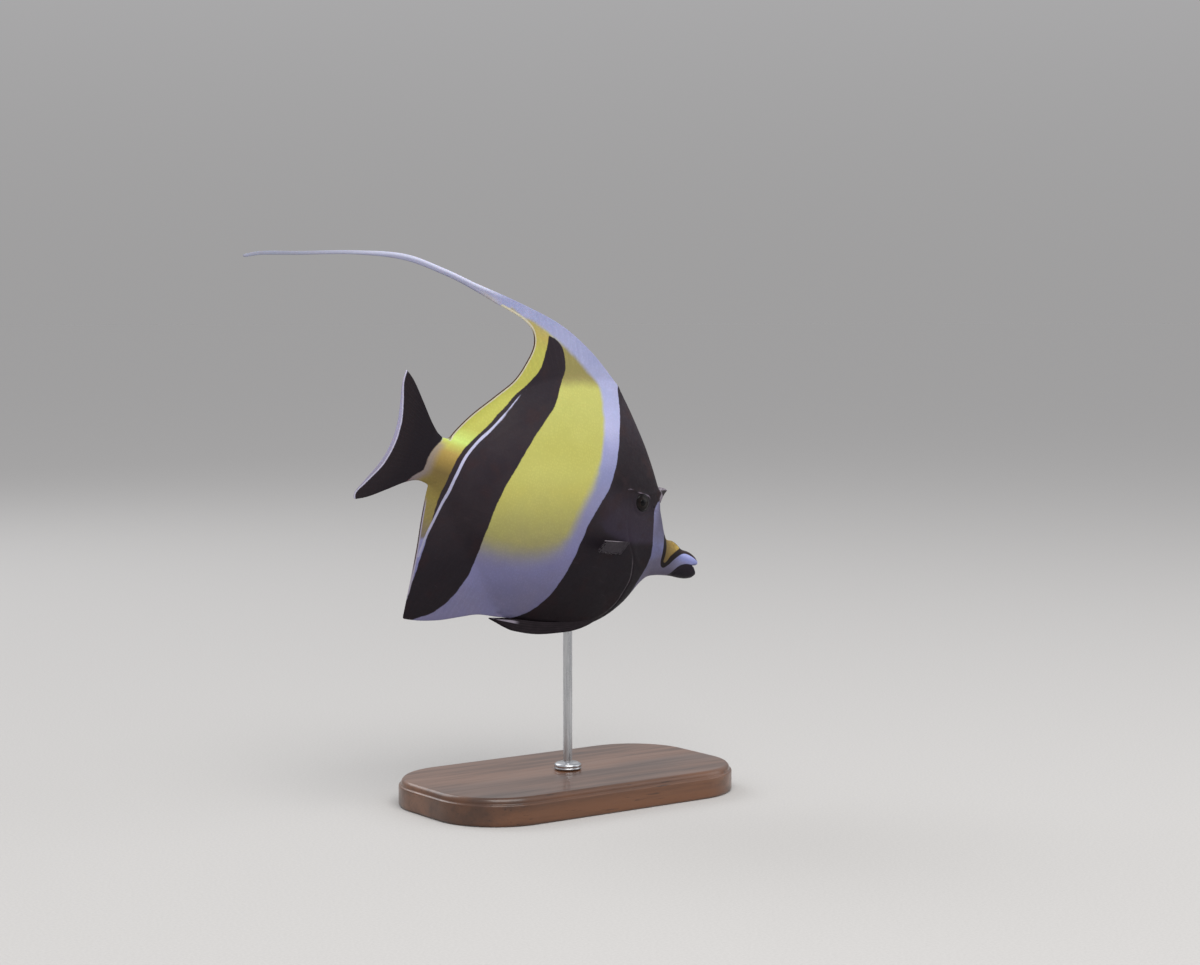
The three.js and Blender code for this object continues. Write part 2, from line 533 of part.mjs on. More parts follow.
const stand = new THREE.Group();
add(stand, 'stand_base', geometryOf(solid(block).subtract(solid(socket))),
  new THREE.MeshStandardMaterial({ color: 0x5a3a24, roughness: 0.45, metalness: 0 }));
add(stand, 'stand_rod', upright_cylinder(ROD.radius, BASE.height - ROD.intoBase, holeTop),
  new THREE.MeshStandardMaterial({ color: 0xb8bcc0, roughness: 0.3, metalness: 1 }));
const ring = new THREE.LatheGeometry([
  new THREE.Vector2(COLLAR.inner, 0), new THREE.Vector2(COLLAR.outer, 0),
  new THREE.Vector2(COLLAR.outer, COLLAR.height - 0.8), new THREE.Vector2(COLLAR.outer - 1.4, COLLAR.height),
  new THREE.Vector2(COLLAR.inner, COLLAR.height), new THREE.Vector2(COLLAR.inner, 0),
], 28).rotateX(Math.PI / 2).translate(0, 0, BASE.height + CUT);
add(stand, 'stand_collar', ring, new THREE.MeshStandardMaterial({ color: 0xb8bcc0, roughness: 0.3, metalness: 1 }));

const group = new THREE.Group();
group.add(fish, stand);

export default group;
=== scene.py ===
# A moorish idol, a tall thin reef fish, as a still, life-size display model on a rod and base.
# The fish is shaped in its own body frame, in millimetres: x forward from the end of the tail
# stem, z up, y to its left. One closed skin covers the flesh and the fins. It is a flat outline
# with a half width at every point, and its markings are distances to smooth curves on the flank.

import math

import bmesh
import bpy
import numpy as np
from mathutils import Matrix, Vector
from mathutils.geometry import delaunay_2d_cdt


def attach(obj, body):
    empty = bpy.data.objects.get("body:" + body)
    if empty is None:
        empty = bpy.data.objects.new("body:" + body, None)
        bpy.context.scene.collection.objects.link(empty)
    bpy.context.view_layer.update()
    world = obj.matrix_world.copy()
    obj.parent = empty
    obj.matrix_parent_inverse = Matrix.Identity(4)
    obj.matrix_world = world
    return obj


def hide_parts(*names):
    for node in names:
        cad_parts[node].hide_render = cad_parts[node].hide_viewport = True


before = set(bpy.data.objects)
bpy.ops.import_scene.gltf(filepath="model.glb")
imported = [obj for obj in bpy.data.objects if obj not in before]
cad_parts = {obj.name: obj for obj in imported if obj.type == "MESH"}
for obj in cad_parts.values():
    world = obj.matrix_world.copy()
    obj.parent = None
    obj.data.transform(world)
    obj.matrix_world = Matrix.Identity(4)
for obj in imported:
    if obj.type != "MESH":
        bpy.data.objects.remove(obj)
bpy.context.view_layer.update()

# ---- sizes, in millimetres and degrees ----
PITCH = math.radians(19.5)          # nose down
ORIGIN = (-65.928, 0.0, 151.450)    # the body frame's origin over the base
SNOUT_END, SNOUT_ROUND = 148.7, 6.0
EYE = dict(x=101.2, z=12.4, radius=5.1, depth=3.5, proud=1.1)
HORN = dict(x=113.8, z=20.2, length=4.2, radius=3.75, across=0.5, sink=1.6)
PECTORAL = dict(front=(99.5, -6.2), rear=(96.0, -13.2), back=-21.4, out=12.0, down=-4.7, sink=2.5)
PELVIC = dict(root_out=3.6, tip_out=2.4)
BASE = dict(length=150.0, width=84.0, height=12.0, corner=30.0)
ROD_RADIUS, ROD_TOP = 2.0, 80.6
COLLAR = dict(inner=2.05, outer=6.0, bottom=12.3, height=3.2)


# ---------------------------------------------------------------- curves
def catmull(points, n):
    """n + 1 points along a smooth run through landmarks"""
    P = np.asarray(points, float)
    m = len(P)
    t = np.linspace(0, m - 1, n + 1)
    i = np.minimum(t.astype(int), m - 2)
    w = (t - i)[:, None]
    p0, p1 = P[np.maximum(i - 1, 0)], P[i]
    p2, p3 = P[np.minimum(i + 1, m - 1)], P[np.minimum(i + 2, m - 1)]
    v0, v1 = (p2 - p0) / 2, (p3 - p1) / 2
    return (2 * p1 - 2 * p2 + v0 + v1) * w**3 + (-3 * p1 + 3 * p2 - 2 * v0 - v1) * w**2 + v0 * w + p1


def spaced(points, step):
    """points about step apart, measured along the smooth run"""
    P = catmull(points, len(points) * 60)
    s = np.concatenate([[0], np.cumsum(np.hypot(*np.diff(P, axis=0).T))])
    n = max(2, round(s[-1] / step))
    at = np.linspace(0, s[-1], n + 1)
    return np.stack([np.interp(at, s, P[:, 0]), np.interp(at, s, P[:, 1])], 1)


def table(rows):
    """a smooth value for every x, from [x, value] rows"""
    P = catmull(sorted(rows), len(rows) * 24)
    x = np.maximum.accumulate(P[:, 0])
    return lambda q: np.interp(q, x, P[:, 1])


def ease(t):
    t = np.clip(t, 0, 1)
    return t * t * (3 - 2 * t)


def near(x, z, P, closed=False):
    """distance to a polyline, its side (+ on the left), and how far along it, 0 to 1"""
    A = np.asarray(P, float)
    B = np.roll(A, -1, 0)
    if not closed:
        A, B = A[:-1], B[:-1]
    length = np.hypot(*(B - A).T)
    start = np.concatenate([[0], np.cumsum(length)])
    best = np.full(x.shape, 1e18)
    side = np.ones(x.shape)
    along = np.zeros(x.shape)
    for k, (a, b) in enumerate(zip(A, B)):
        dx, dz = b - a
        L = dx * dx + dz * dz
        if L < 1e-12:
            continue
        t = np.clip(((x - a[0]) * dx + (z - a[1]) * dz) / L, 0, 1)
        ex, ez = x - a[0] - t * dx, z - a[1] - t * dz
        d = ex * ex + ez * ez
        m = d < best - 1e-9
        best[m] = d[m]
        side[m] = np.where(dx * ez[m] - dz * ex[m] >= 0, 1, -1)
        along[m] = start[k] + t[m] * length[k]
    return np.sqrt(best), side, along / start[-1]


def inside(x, z, loop):
    A = np.asarray(loop, float)
    B = np.roll(A, 1, 0)
    hit = np.zeros(x.shape, bool)
    for (ax, az), (bx, bz) in zip(A, B):
        if az == bz:
            continue
        hit ^= ((az > z) != (bz > z)) & (x < ax + (z - az) * (bx - ax) / (bz - az))
    return hit


def region(x, z, loop):
    """signed distance to a closed loop, + inside"""
    d = near(x, z, loop, True)[0]
    return np.where(inside(x, z, loop), d, -d)


# ---------------------------------------------------------------- the fish's outline, run by run
LIP, CHIN, NAPE = (147.3, -2.2), (148.1, -8.7), (77.9, 59.3)
FILAMENT_TIP, TAIL_TOP, TAIL_BOTTOM = (-114.9, 49.5), (-28.3, 30.9), (-34.6, -27.9)
STEM_TOP, STEM_BOTTOM, ANAL_TIP, VENT = (1.0, 9.7), (-2.2, -11.6), (4.2, -68.6), (48.5, -55.6)
RUNS = {
    "forehead": (0.45, [LIP, (145.9, -1.0), (143.6, -0.1), (141.0, 0.4), (138.2, 0.3), (136.0, 0.5), (134.0, 1.3), (132.2, 2.1), (130.0, 2.5), (127.5, 2.1), (124.9, 2.9), (123.0, 5.0), (121.1, 8.0), (119.2, 11.7), (116.7, 16.2), (112.8, 24.4), (102.1, 37.5), (90.4, 48.8), NAPE]),
    "dorsal_front": (0.85, [NAPE, (60, 68.4), (40, 74.4), (16, 76.2), (-8, 76.4)]),
    "filament_top": (1.0, [(-8, 76.4), (-24, 76.9), (-44.6, 75.9), (-67.4, 69.0), (-91.3, 59.8), (-103, 55.6)]),
    "filament_end": (0.45, [(-103, 55.6), (-108.4, 53.4), (-110.8, 52.1), (-113.0, 50.8), FILAMENT_TIP, (-114.2, 48.7), (-111.9, 49.9), (-109.6, 51.1), (-107.2, 52.3), (-103, 53.9)]),
    "filament_bottom": (1.0, [(-103, 53.9), (-91.3, 58.2), (-67, 67.4), (-43.8, 73.4), (-21.2, 74.2), (-8, 73.3), (4.7, 71.8)]),
    "dorsal_rear": (0.6, [(4.7, 71.8), (14, 71.0), (21.5, 69.6), (26.8, 66.8), (29.3, 61.2), (28.2, 53.7), (24.7, 44), (17.7, 34.6), (9.0, 23.6), (3.4, 14.8), STEM_TOP]),
    "tail_upper": (0.6, [STEM_TOP, (-2.9, 9.6), (-8.3, 13.3), (-15.7, 20.6), (-23.1, 27.7), TAIL_TOP]),
    "tail_rear": (0.55, [TAIL_TOP, (-28.3, 25.2), (-26.6, 17.2), (-25.1, 8.3), (-25.4, -0.8), (-27.7, -9.4), (-32.2, -18.6), (-35.3, -25.0), TAIL_BOTTOM]),
    "tail_lower": (0.6, [TAIL_BOTTOM, (-28.7, -25.0), (-21.1, -19.6), (-13.3, -13.9), (-7.5, -11.3), STEM_BOTTOM]),
    "anal_rear": (0.6, [STEM_BOTTOM, (-1.9, -17), (-0.7, -27), (1.0, -38), (2.5, -51), ANAL_TIP]),
    "anal_front": (0.7, [ANAL_TIP, (12, -67.3), (22, -64.4), (32, -60.2), (40, -57.0), VENT]),
    "belly": (0.7, [VENT, (57, -54.2), (68, -53.6), (80, -52.0), (93, -48.2), (103.8, -41.2), (111.8, -32.2), (116.6, -23.2)]),
    "throat": (0.42, [(116.6, -23.2), (120.4, -18.0), (125.5, -15.2), (133.6, -13.1), (139.1, -12.5), (143.1, -11.8), (146.0, -10.7), (147.4, -9.8), CHIN]),
    "mouth": (0.2, [CHIN, (147.9, -7.8), (147.0, -7.0), (145.7, -6.2), (144.5, -5.6), (143.5, -5.1), (144.7, -4.8), (146.0, -4.5), (147.1, -4.0), (147.4, -3.2), LIP]),
}
RUN = {name: spaced(marks, step) for name, (step, marks) in RUNS.items()}
OUTLINE = np.concatenate([run[:-1] for run in RUN.values()])
for _ in range(2):
    OUTLINE = (np.roll(OUTLINE, 1, 0) + 2 * OUTLINE + np.roll(OUTLINE, -1, 0)) / 4

# ---------------------------------------------------------------- half width of flesh and fins
flesh_width = table([[-9, 1.6], [0, 3.0], [8, 4.3], [20, 7.2], [35, 10.6], [50, 13.0], [65, 14.0], [80, 13.4], [95, 11.2], [108, 8.8], [119, 6.7], [130, 4.9], [140, 3.8], [150, 3.4]])
flesh_middle = table([[-9, -1], [0, -0.6], [20, 1], [50, 3], [80, 4.5], [100, 5.5], [110, 3], [118, -1.5], [126, -4.5], [138, -5.6], [150, -5.6]])
flesh_top_table = table([[-9, 10.5], [1.5, 11.2], [8, 17], [25, 38.2], [50, 54.6], [66, 58.6], [77.9, 59.8], [90.4, 49.2], [102.1, 37.9], [112.8, 24.8], [116.7, 16.6], [121.1, 8.4], [124.9, 3.3], [128.5, 2.8], [132.2, 2.4], [136.5, 0.8], [141, 0.7], [144, 0.1], [150, -2.9]])
flesh_bottom_table = table([[-9, -11], [1, -12.2], [12, -21.5], [22, -30.8], [35, -42.5], [45, -50.5], [55, -54.6], [68, -53.9], [80, -52.3], [93, -48.5], [103.8, -41.5], [111.8, -32.5], [116.6, -23.5], [120.4, -18.3], [125.5, -15.5], [133.6, -13.4], [139.1, -12.8], [143.1, -12.1], [150, -9.6]])
round_top = table([[-9, 0.6], [20, 0.9], [80, 0.95], [92, 0.82], [104, 0.68], [114, 0.58], [126, 0.5], [150, 0.5]])
round_bottom = table([[-9, 0.6], [20, 0.9], [50, 0.92], [62, 0.75], [90, 0.6], [118, 0.52], [130, 0.5], [150, 0.5]])

_fore = RUN["forehead"][::-1]
_under = np.concatenate([RUN["belly"][:-1], RUN["throat"]])


def flesh_top(x):
    w = ease((x - 77.5) / 6.5)
    return flesh_top_table(x) * (1 - w) + np.interp(x, _fore[:, 0], _fore[:, 1]) * w


def flesh_bottom(x):
    w = ease((x - 50) / 10)
    return flesh_bottom_table(x) * (1 - w) + np.interp(x, _under[:, 0], _under[:, 1]) * w


def flesh(x, z):
    middle = flesh_middle(x)
    up = z > middle
    s = np.where(up, (z - middle) / (flesh_top(x) - middle), (middle - z) / (middle - flesh_bottom(x)))
    s = np.clip(s, 0, 1)
    across = np.power(1 - s * s, np.where(up, round_top(x), round_bottom(x)))
    tip = np.clip((x - (SNOUT_END - SNOUT_ROUND)) / SNOUT_ROUND, 0, 1)
    return flesh_width(x) * across * np.sqrt(np.maximum(0, 1 - tip * tip)) * ease((x + 9) / 6)


def half_width(x, z):
    x, z = np.atleast_1d(np.asarray(x, float)), np.atleast_1d(np.asarray(z, float))
    d = near(x, z, OUTLINE[::3], True)[0]
    return np.hypot(flesh(x, z), 0.3 + 0.055 * np.minimum(d, 20))


# ---------------------------------------------------------------- the skin's points
def rows_inside(points, inset):
    """points set in from the outline by inset"""
    ahead, behind = np.roll(points, -1, 0), np.roll(points, 1, 0)
    run = ahead - behind
    run /= np.maximum(np.hypot(*run.T), 1e-9)[:, None]
    return points + inset * np.stack([-run[:, 1], run[:, 0]], 1)


def hex_grid(h, box, keep):
    x0, x1, z0, z1 = box
    rows = np.arange(z0, z1, h * 0.8660254)
    xs = np.arange(x0, x1, h)
    X = xs[None, :] + (np.arange(len(rows)) % 2)[:, None] * h * 0.5
    Z = np.repeat(rows[:, None], len(xs), 1)
    X, Z = X.ravel(), Z.ravel()
    m = keep(X, Z)
    return np.stack([X[m], Z[m]], 1)


def above_flesh(x, z):
    return (z > flesh_top_table(x) - 1.5) & (x < 84)


def below_flesh(x, z):
    return (z < flesh_bottom_table(x) + 1.5) & (x < 50)


def eye_reach(x, z):
    return np.hypot(x - EYE["x"], z - EYE["z"])


fins = lambda x, z: (above_flesh(x, z) | below_flesh(x, z) | (x < 0)) & ~((x < 5) & (z > 45))
grids = [
    (0.7, (-116, 5, 45, 80), lambda x, z: (x < 5) & (z > 45)),
    (0.52, (-38, 84, -70, 78), fins),
    (0.9, (0, 80, -58, 62), lambda x, z: ~fins(x, z) & (x < 80)),
    (0.66, (80, 95, -56, 62), lambda x, z: (x >= 80) & (x < 95) & ~above_flesh(x, z)),
    (0.5, (95, 119, -48, 46), lambda x, z: (x >= 95) & (x < 119) & (eye_reach(x, z) > 6.5)),
    (0.34, (94, 109, 5, 20), lambda x, z: eye_reach(x, z) <= 6.5),
    (0.38, (119, 141, -20, 12), lambda x, z: (x >= 119) & (x < 141)),
    (0.26, (141, 150, -12, 1), lambda x, z: x >= 141),
]
layers_fin = [0.05, 0.14, 0.3, 0.55, 0.95]
layers_head = [0.06, 0.22, 0.5, 0.88, 1.35, 1.9, 2.5, 3.15]

loose = []
edge_is_head = OUTLINE[:, 0] > 82
for group, layers in ((~edge_is_head, layers_fin), (edge_is_head, layers_head)):
    for inset in layers:
        at = rows_inside(OUTLINE, inset)[group]
        d, side, _ = near(at[:, 0], at[:, 1], OUTLINE, True)
        loose.append(at[(d > inset * 0.93) & (side > 0)])
for h, box, keep in grids:
    at = hex_grid(h, box, keep)
    d, side, _ = near(at[:, 0], at[:, 1], OUTLINE, True)
    deep = np.where(at[:, 0] > 82, 3.15, 0.95)
    loose.append(at[(side > 0) & (d > deep + 0.55 * h)])
loose = np.concatenate(loose)
flat_points = np.concatenate([OUTLINE, loose])
rim = len(OUTLINE)

made = delaunay_2d_cdt([Vector(p) for p in flat_points.tolist()], [], [list(range(rim))], 1, 1e-5)
points2 = np.array([tuple(v) for v in made[0]])
faces2 = np.array([f for f in made[2] if len(f) == 3])
came_from = made[3]
is_rim = np.array([any(i < rim for i in src) for src in came_from])
used = np.zeros(len(points2), bool)
used[faces2.ravel()] = True
renumber = np.cumsum(used) - 1
points2, is_rim, faces2 = points2[used], is_rim[used], renumber[faces2]
a, b, c = (points2[faces2[:, k]] for k in range(3))
turned = (b[:, 0] - a[:, 0]) * (c[:, 1] - a[:, 1]) - (b[:, 1] - a[:, 1]) * (c[:, 0] - a[:, 0]) < 0
faces2[turned] = faces2[turned][:, ::-1]
x, z = points2[:, 0].copy(), points2[:, 1].copy()
count = len(x)

pairs = np.unique(np.sort(np.concatenate([faces2[:, [0, 1]], faces2[:, [1, 2]], faces2[:, [2, 0]]]), axis=1), axis=0)
degree = np.bincount(pairs.ravel(), minlength=count)


def spread(values, rounds, held=None):
    """values evened out over the mesh, with the held points left as they are"""
    v = values.copy()
    for _ in range(rounds):
        total = np.bincount(pairs[:, 0], v[pairs[:, 1]], count) + np.bincount(pairs[:, 1], v[pairs[:, 0]], count)
        new = 0.5 * v + 0.5 * total / degree
        v = new if held is None else np.where(held, values, new)
    return v


edge, _, _ = near(x, z, OUTLINE, True)
edge[is_rim] = 0
deep = spread(np.minimum(edge, 20), 60, is_rim | (edge < 0.7))
thread = np.clip((10 - x) / 20, 0, 1) * np.clip((x + 70) / 60, 0, 1) * (z > 45)
margin = 0.2 + 0.1 * ease((x - 76) / 6) + 0.34 * thread
roll = 0.3 + 0.5 * thread
fin_half = margin * np.sqrt(1 - (1 - np.clip(edge / roll, 0, 1)) ** 2) + 0.052 * deep
lip_round = 0.5 + 0.6 * ease((x - 141) / 5)
body_half = flesh(x, z) * np.where(x > 80, np.sqrt(1 - (1 - np.clip(edge / lip_round, 0, 1)) ** 2), 1)
# the flesh runs softly into the upright fins
soft = spread(body_half, 44, is_rim | (edge < 1.0))
body_half = body_half + (soft - body_half) * ease((86 - x) / 8)
half = np.hypot(body_half, fin_half)
half[is_rim] = 0

# ---------------------------------------------------------------- markings, as distances on the flank
BAND_1_REAR = [(77.6, 66), (77.8, 58.3), (79.1, 49.3), (79.9, 40.1), (80.7, 31.0), (80.6, 21.8), (79.5, 12.7), (76.6, 4.0), (73.9, -4.7), (72.9, -13.8), (72.0, -23.0), (70.5, -32.0), (67.8, -40.8), (63.3, -48.6), (56.3, -54.5), (51, -58)]
BAND_1_FRONT = [(109.5, -40), (112.2, -33), (113.5, -27), (114.2, -21.6), (115.2, -16.8), (116.0, -12.0), (116.0, -7.1), (115.0, -2.4), (113.4, 2.2), (111.9, 6.9), (110.6, 11.6), (112.0, 15.2), (114.2, 17.4), (115.8, 19.6), (126, 24)]
BAND_2_FRONT = [(35.2, 67.9), (39.6, 67.4), (44.0, 64.6), (47.9, 56.7), (46.8, 47.8), (44.7, 39.0), (40.9, 30.8), (37.1, 22.6), (34.1, 14.1), (31.5, 5.4), (29.2, -3.3), (28.4, -12.3), (28.6, -21.3), (29.4, -30.3), (29.7, -39.3), (27.2, -48.0), (23.0, -55.9), (17.0, -62.6), (9.4, -67.5), (4.5, -72)]
BAND_2_REAR = [(-1.5, -66), (2.4, -63.0), (3.5, -60.9), (3.6, -53.8), (3.9, -46.7), (4.1, -39.7), (4.3, -32.6), (4.2, -24.5), (4.2, -16.8), (4.4, -9.6), (4.8, -2.4), (6.5, 4.5), (9.7, 10.9), (13.7, 16.8), (17.5, 22.9), (21.2, 29.1), (24.9, 35.2), (29.0, 41.1), (33.1, 47.0), (35.7, 53.6), (35.9, 60.7), (35.2, 67.9)]
WHITE_LINE = [(32.3, 43.4), (27.3, 35.7), (22.8, 27.7), (18.0, 19.8), (12.9, 12.1), (9.0, 3.8), (7.4, -5.2), (6.9, -14.4), (5.4, -23.4), (3.7, -32.5), (2.9, -41.6)]
YELLOW_FRONT = [(34, 69), (46.5, 65.6), (57.0, 61.1), (66.8, 55.6), (69.6, 45.1), (71.4, 33.8), (71.6, 22.3), (70.6, 10.8), (68.0, -0.4), (66.4, -11.8), (62.6, -21.0), (54, -27.5), (42, -30.5), (28, -31.0)]
REAR_YELLOW_TOP = [(35.2, 68.2), (32, 69.6), (29.2, 70.3), (24.1, 71.1), (18.6, 71.2), (13, 73)]
CAUDAL_BASE = [(-2.4, 16), (-2.7, 8.7), (-4.8, 4.9), (-6.4, -0.6), (-6.8, -5.9), (-8.9, -8.5), (-12.5, -13.0), (-15.5, -17)]
SADDLE = [(123.6, 1.6), (124.3, -2.2), (124.7, -5.9), (124.9, -8.2), (126.0, -8.9), (127.2, -7.4), (128.1, -5.2), (130.0, -3.1), (132.3, -1.1), (134.0, 0.1), (133.2, 1.0), (130.6, 2.0), (128.0, 3.2), (124.2, 6.0)]
SADDLE_EDGE = [(122.6, 7.4), (121.7, 5.4), (121.5, 2.8), (122.0, -0.9), (122.6, -5.1), (123.1, -8.4), (124.6, -10.6), (126.8, -11.0), (128.9, -9.0), (131.1, -5.8), (134.3, -2.8), (138.0, -1.3), (142.0, -1.5), (145.3, -2.3), (148.6, -2.2), (130, 10)]
LOWER_JAW = [(130.6, -14.2), (132.0, -13.0), (132.9, -11.4), (134.0, -9.2), (135.6, -7.3), (137.9, -6.0), (140.4, -5.3), (143.5, -5.1), (146.5, -5.3), (151.0, -5.6), (152, -14), (131, -17)]
GILL = [(91.0, 24.0), (92.2, 14.0), (94.6, 3.0), (99.0, -5.5), (104.8, -11.6), (107.0, -16.5), (108.2, -21.6), (107.4, -27.2), (106.3, -33.0), (102.6, -39.2), (96, -44)]
OPERCLE_LINE = GILL[4:10]
CHEEK = [(70, -5.2), (79.7, -4.2), (85.4, -6.2), (91.8, -7.2), (100.8, -6.4), (107, -5.0), (116, -3.0)]
OLIVE = [(38, 46), (49.4, 50.2), (58, 53.1), (66.4, 55.1), (80, 58)]
BROW = [(90.0, 15.2), (92.4, 16.1), (94.4, 16.3), (96.5, 16.0), (100.7, 16.3), (105.1, 16.4), (106.5, 15.4)]
PREOPERCLE = [(98.0, 3.5), (99.0, -1.5), (102.4, -6.5), (107.5, -11.5), (112.5, -15.0), (118.5, -16.6)]
LATERAL_LINE = [(91, 27), (84, 38), (72, 44.5), (56, 44), (42, 37), (29, 26), (17, 13), (8, 3.5), (-2, 0)]


def curve(marks, step=0.8):
    return spaced(marks, step)


field = {}
band_1 = np.concatenate([curve(BAND_1_REAR), [(51, -75), (109, -60)], curve(BAND_1_FRONT), [(126, 80), (77.6, 80)]])
band_2 = np.concatenate([curve(BAND_2_FRONT), [(4, -80), (-8, -75)], curve(BAND_2_REAR)])
field["band1"] = region(x, z, band_1)
field["band2"] = region(x, z, band_2)
d, _, s = near(x, z, curve(WHITE_LINE))
field["line"] = np.interp(s, [0, 0.05, 0.25, 0.6, 0.8, 1], [-0.25, 0.22, 0.5, 0.66, 0.6, 0.55]) - d
front = curve(YELLOW_FRONT)
field["yellow"] = region(x, z, np.concatenate([front, [(20, -31), (20, 69)]]))
rear = np.concatenate([curve(BAND_2_REAR[6:]) + (1.6, 0.0), curve(REAR_YELLOW_TOP), [(0, 60), (-2.4, 30)], curve(CAUDAL_BASE), [(-14, -40)]])
field["rear"] = region(x, z, rear)
d, side, _ = near(x, z, curve(CAUDAL_BASE))
field["tail"] = np.where((x < 1) & (abs(z) < 40), -d * side, -20.0)
field["saddle"] = region(x, z, curve(SADDLE + SADDLE[:1], 0.4)[:-1])
field["saddle_edge"] = region(x, z, np.concatenate([curve(SADDLE_EDGE[:14], 0.4), SADDLE_EDGE[14:]]))
field["jaw"] = region(x, z, np.concatenate([curve(LOWER_JAW[:10], 0.4), LOWER_JAW[10:]]))
d, side, s = near(x, z, curve(GILL))
field["gill"] = -d * side
d, _, s = near(x, z, curve(OPERCLE_LINE))
field["opercle"] = np.interp(s, [0, 0.1, 0.8, 1], [0.1, 0.38, 0.3, 0.0]) - d
d, side, _ = near(x, z, curve(CHEEK))
field["cheek"] = d * side
d, side, _ = near(x, z, curve(OLIVE))
field["olive"] = d * side
d, _, s = near(x, z, curve(BROW))
field["brow"] = np.interp(s, [0, 0.08, 0.24, 0.3, 0.38, 0.5, 0.85, 1], [0.0, 0.26, 0.16, -0.3, -0.05, 0.26, 0.32, 0.05]) - d
d, _, s = near(x, z, curve([(-0.8, 9.7), (-2.8, 10.2), (-6.2, 12.9)], 0.3))
field["spur"] = np.interp(s, [0, 0.2, 1], [0.0, 0.34, 0.12]) - d
d, side, _ = near(x, z, np.concatenate([RUN["dorsal_front"][45:-1], RUN["filament_top"], RUN["filament_end"][1:29]]))
field["thread_top"] = np.minimum(d, 15)
d, side, _ = near(x, z, np.concatenate([RUN["filament_end"][-27:-1], RUN["filament_bottom"], RUN["dorsal_rear"][1:4]]))
field["thread_low"] = np.minimum(d, 15)
field["dorsal_rim"] = np.minimum(near(x, z, RUN["dorsal_rear"][6:])[0], 15)
field["tail_rim"] = np.minimum(near(x, z, RUN["tail_rear"])[0], 15)
field["anal_rim"] = np.minimum(near(x, z, RUN["anal_rear"])[0], 15)
field["edge"] = np.minimum(edge, 15)
eye_distance = eye_reach(x, z)
field["eye"] = np.minimum(eye_distance, 15)

# ---- fin rays: three fans, each counted from its own centre ----
fans = [
    ((112.0, -46.0), 0.52, ease((z - flesh_top_table(x) - 1.0) / 7.0) * ease((x - np.where(z > 45, 4, -4)) / 12) * (x < 84) * (z > 10)),
    ((60.0, 42.0), 0.60, ease((flesh_bottom_table(x) - z - 1.0) / 6.0) * (x < 52) * (z < -12) * (x > -5)),
    ((20.0, -0.5), 2.6, ease((-6.0 - x) / 5.0) * (z < 40)),
]
ray = np.zeros(count)
rayed = np.zeros(count)
for (cx, cz), step, where in fans:
    angle = np.degrees(np.arctan2(z - cz, x - cx)) % 360
    reach = np.hypot(x - cx, z - cz)
    m = where > rayed
    ray = np.where(m, angle / (step * 2.4 if step < 1 else step), ray)
    rayed = np.maximum(rayed, where)
field["ray"] = ray
field["rayed"] = rayed * ease((edge - 0.5) / 1.5)

# ---------------------------------------------------------------- relief of the skin, in mm along its normal
bump = lambda d, w: np.exp(-((d / w) ** 2))
relief = np.zeros(count)

# rays in the fins: low round ridges, split once towards the margin
branch = ease((10 - edge) / 8) * ease((edge - 0.2) / 0.8)
wave = np.cos(2 * np.pi * ray) * (1 - 0.45 * branch) + 0.45 * branch * np.cos(4 * np.pi * ray)
relief += 0.028 * wave * rayed * ease(edge / 2.2)

# gill opening: the cover's soft edge stands over a groove
gill_d, gill_side, gill_s = near(x, z, curve(GILL))
ends = (0.25 + 0.75 * ease((gill_s - 0.4) / 0.2)) * ease(gill_s / 0.12) * ease((1 - gill_s) / 0.1)
ahead = -gill_side * gill_d
relief += ends * (-0.26 * bump(ahead + 0.35, 0.55) + 0.24 * bump(np.maximum(ahead - 0.5, 0), 2.8) * (ahead > -0.1) * ease((ahead + 0.1) / 0.5))

# the bone edge on the cheek, a slight hollow ahead of it, and the swell of the gill cover
pre_d, pre_side, pre_s = near(x, z, curve(PREOPERCLE))
pre_ends = ease(pre_s / 0.2) * ease((1 - pre_s) / 0.2)
relief += pre_ends * (0.09 * bump(pre_d, 1.2) - 0.06 * bump(pre_d - 1.7, 1.1) * (pre_side < 0))
relief += 0.5 * bump(np.hypot((x - 101.5) / 1.0, (z + 12) / 2.1), 7.5) - 0.30 * bump(np.hypot(x - 111.5, (z - 2.0) / 1.6), 6.0)

# eye: a dish under the eyeball, a raised rim round it, a brow over it and a fold below
relief += -3.0 * ease((3.75 - eye_distance) / 1.0)
relief += 0.22 * bump(eye_distance - 4.5, 0.7) - 0.07 * bump(eye_distance - 6.1, 0.9)
brow_d, _, brow_s = near(x, z, curve(BROW))
relief += 0.16 * bump(brow_d, 0.8) * ease(brow_s / 0.2) * ease((1 - brow_s) / 0.2)

# base of the horn and the bony ridge that leads to it
horn_d = np.hypot(x - HORN["x"], z - HORN["z"])
relief += 0.75 * bump(horn_d, 2.3)
ridge_d, _, ridge_s = near(x, z, curve([(105.5, 17.4), (108.5, 19.0), (111.6, 20.4), (113.6, 19.8)]))
relief += 0.35 * bump(ridge_d, 1.0)

# two nostrils before the eye, each a pit with a soft rim
for nx, nz, nr in ((109.7, 12.6, 0.55), (111.5, 11.2, 0.42)):
    nostril = np.hypot(x - nx, z - nz)
    relief += -0.55 * bump(nostril, nr) + 0.16 * bump(nostril - 1.1, 0.4)

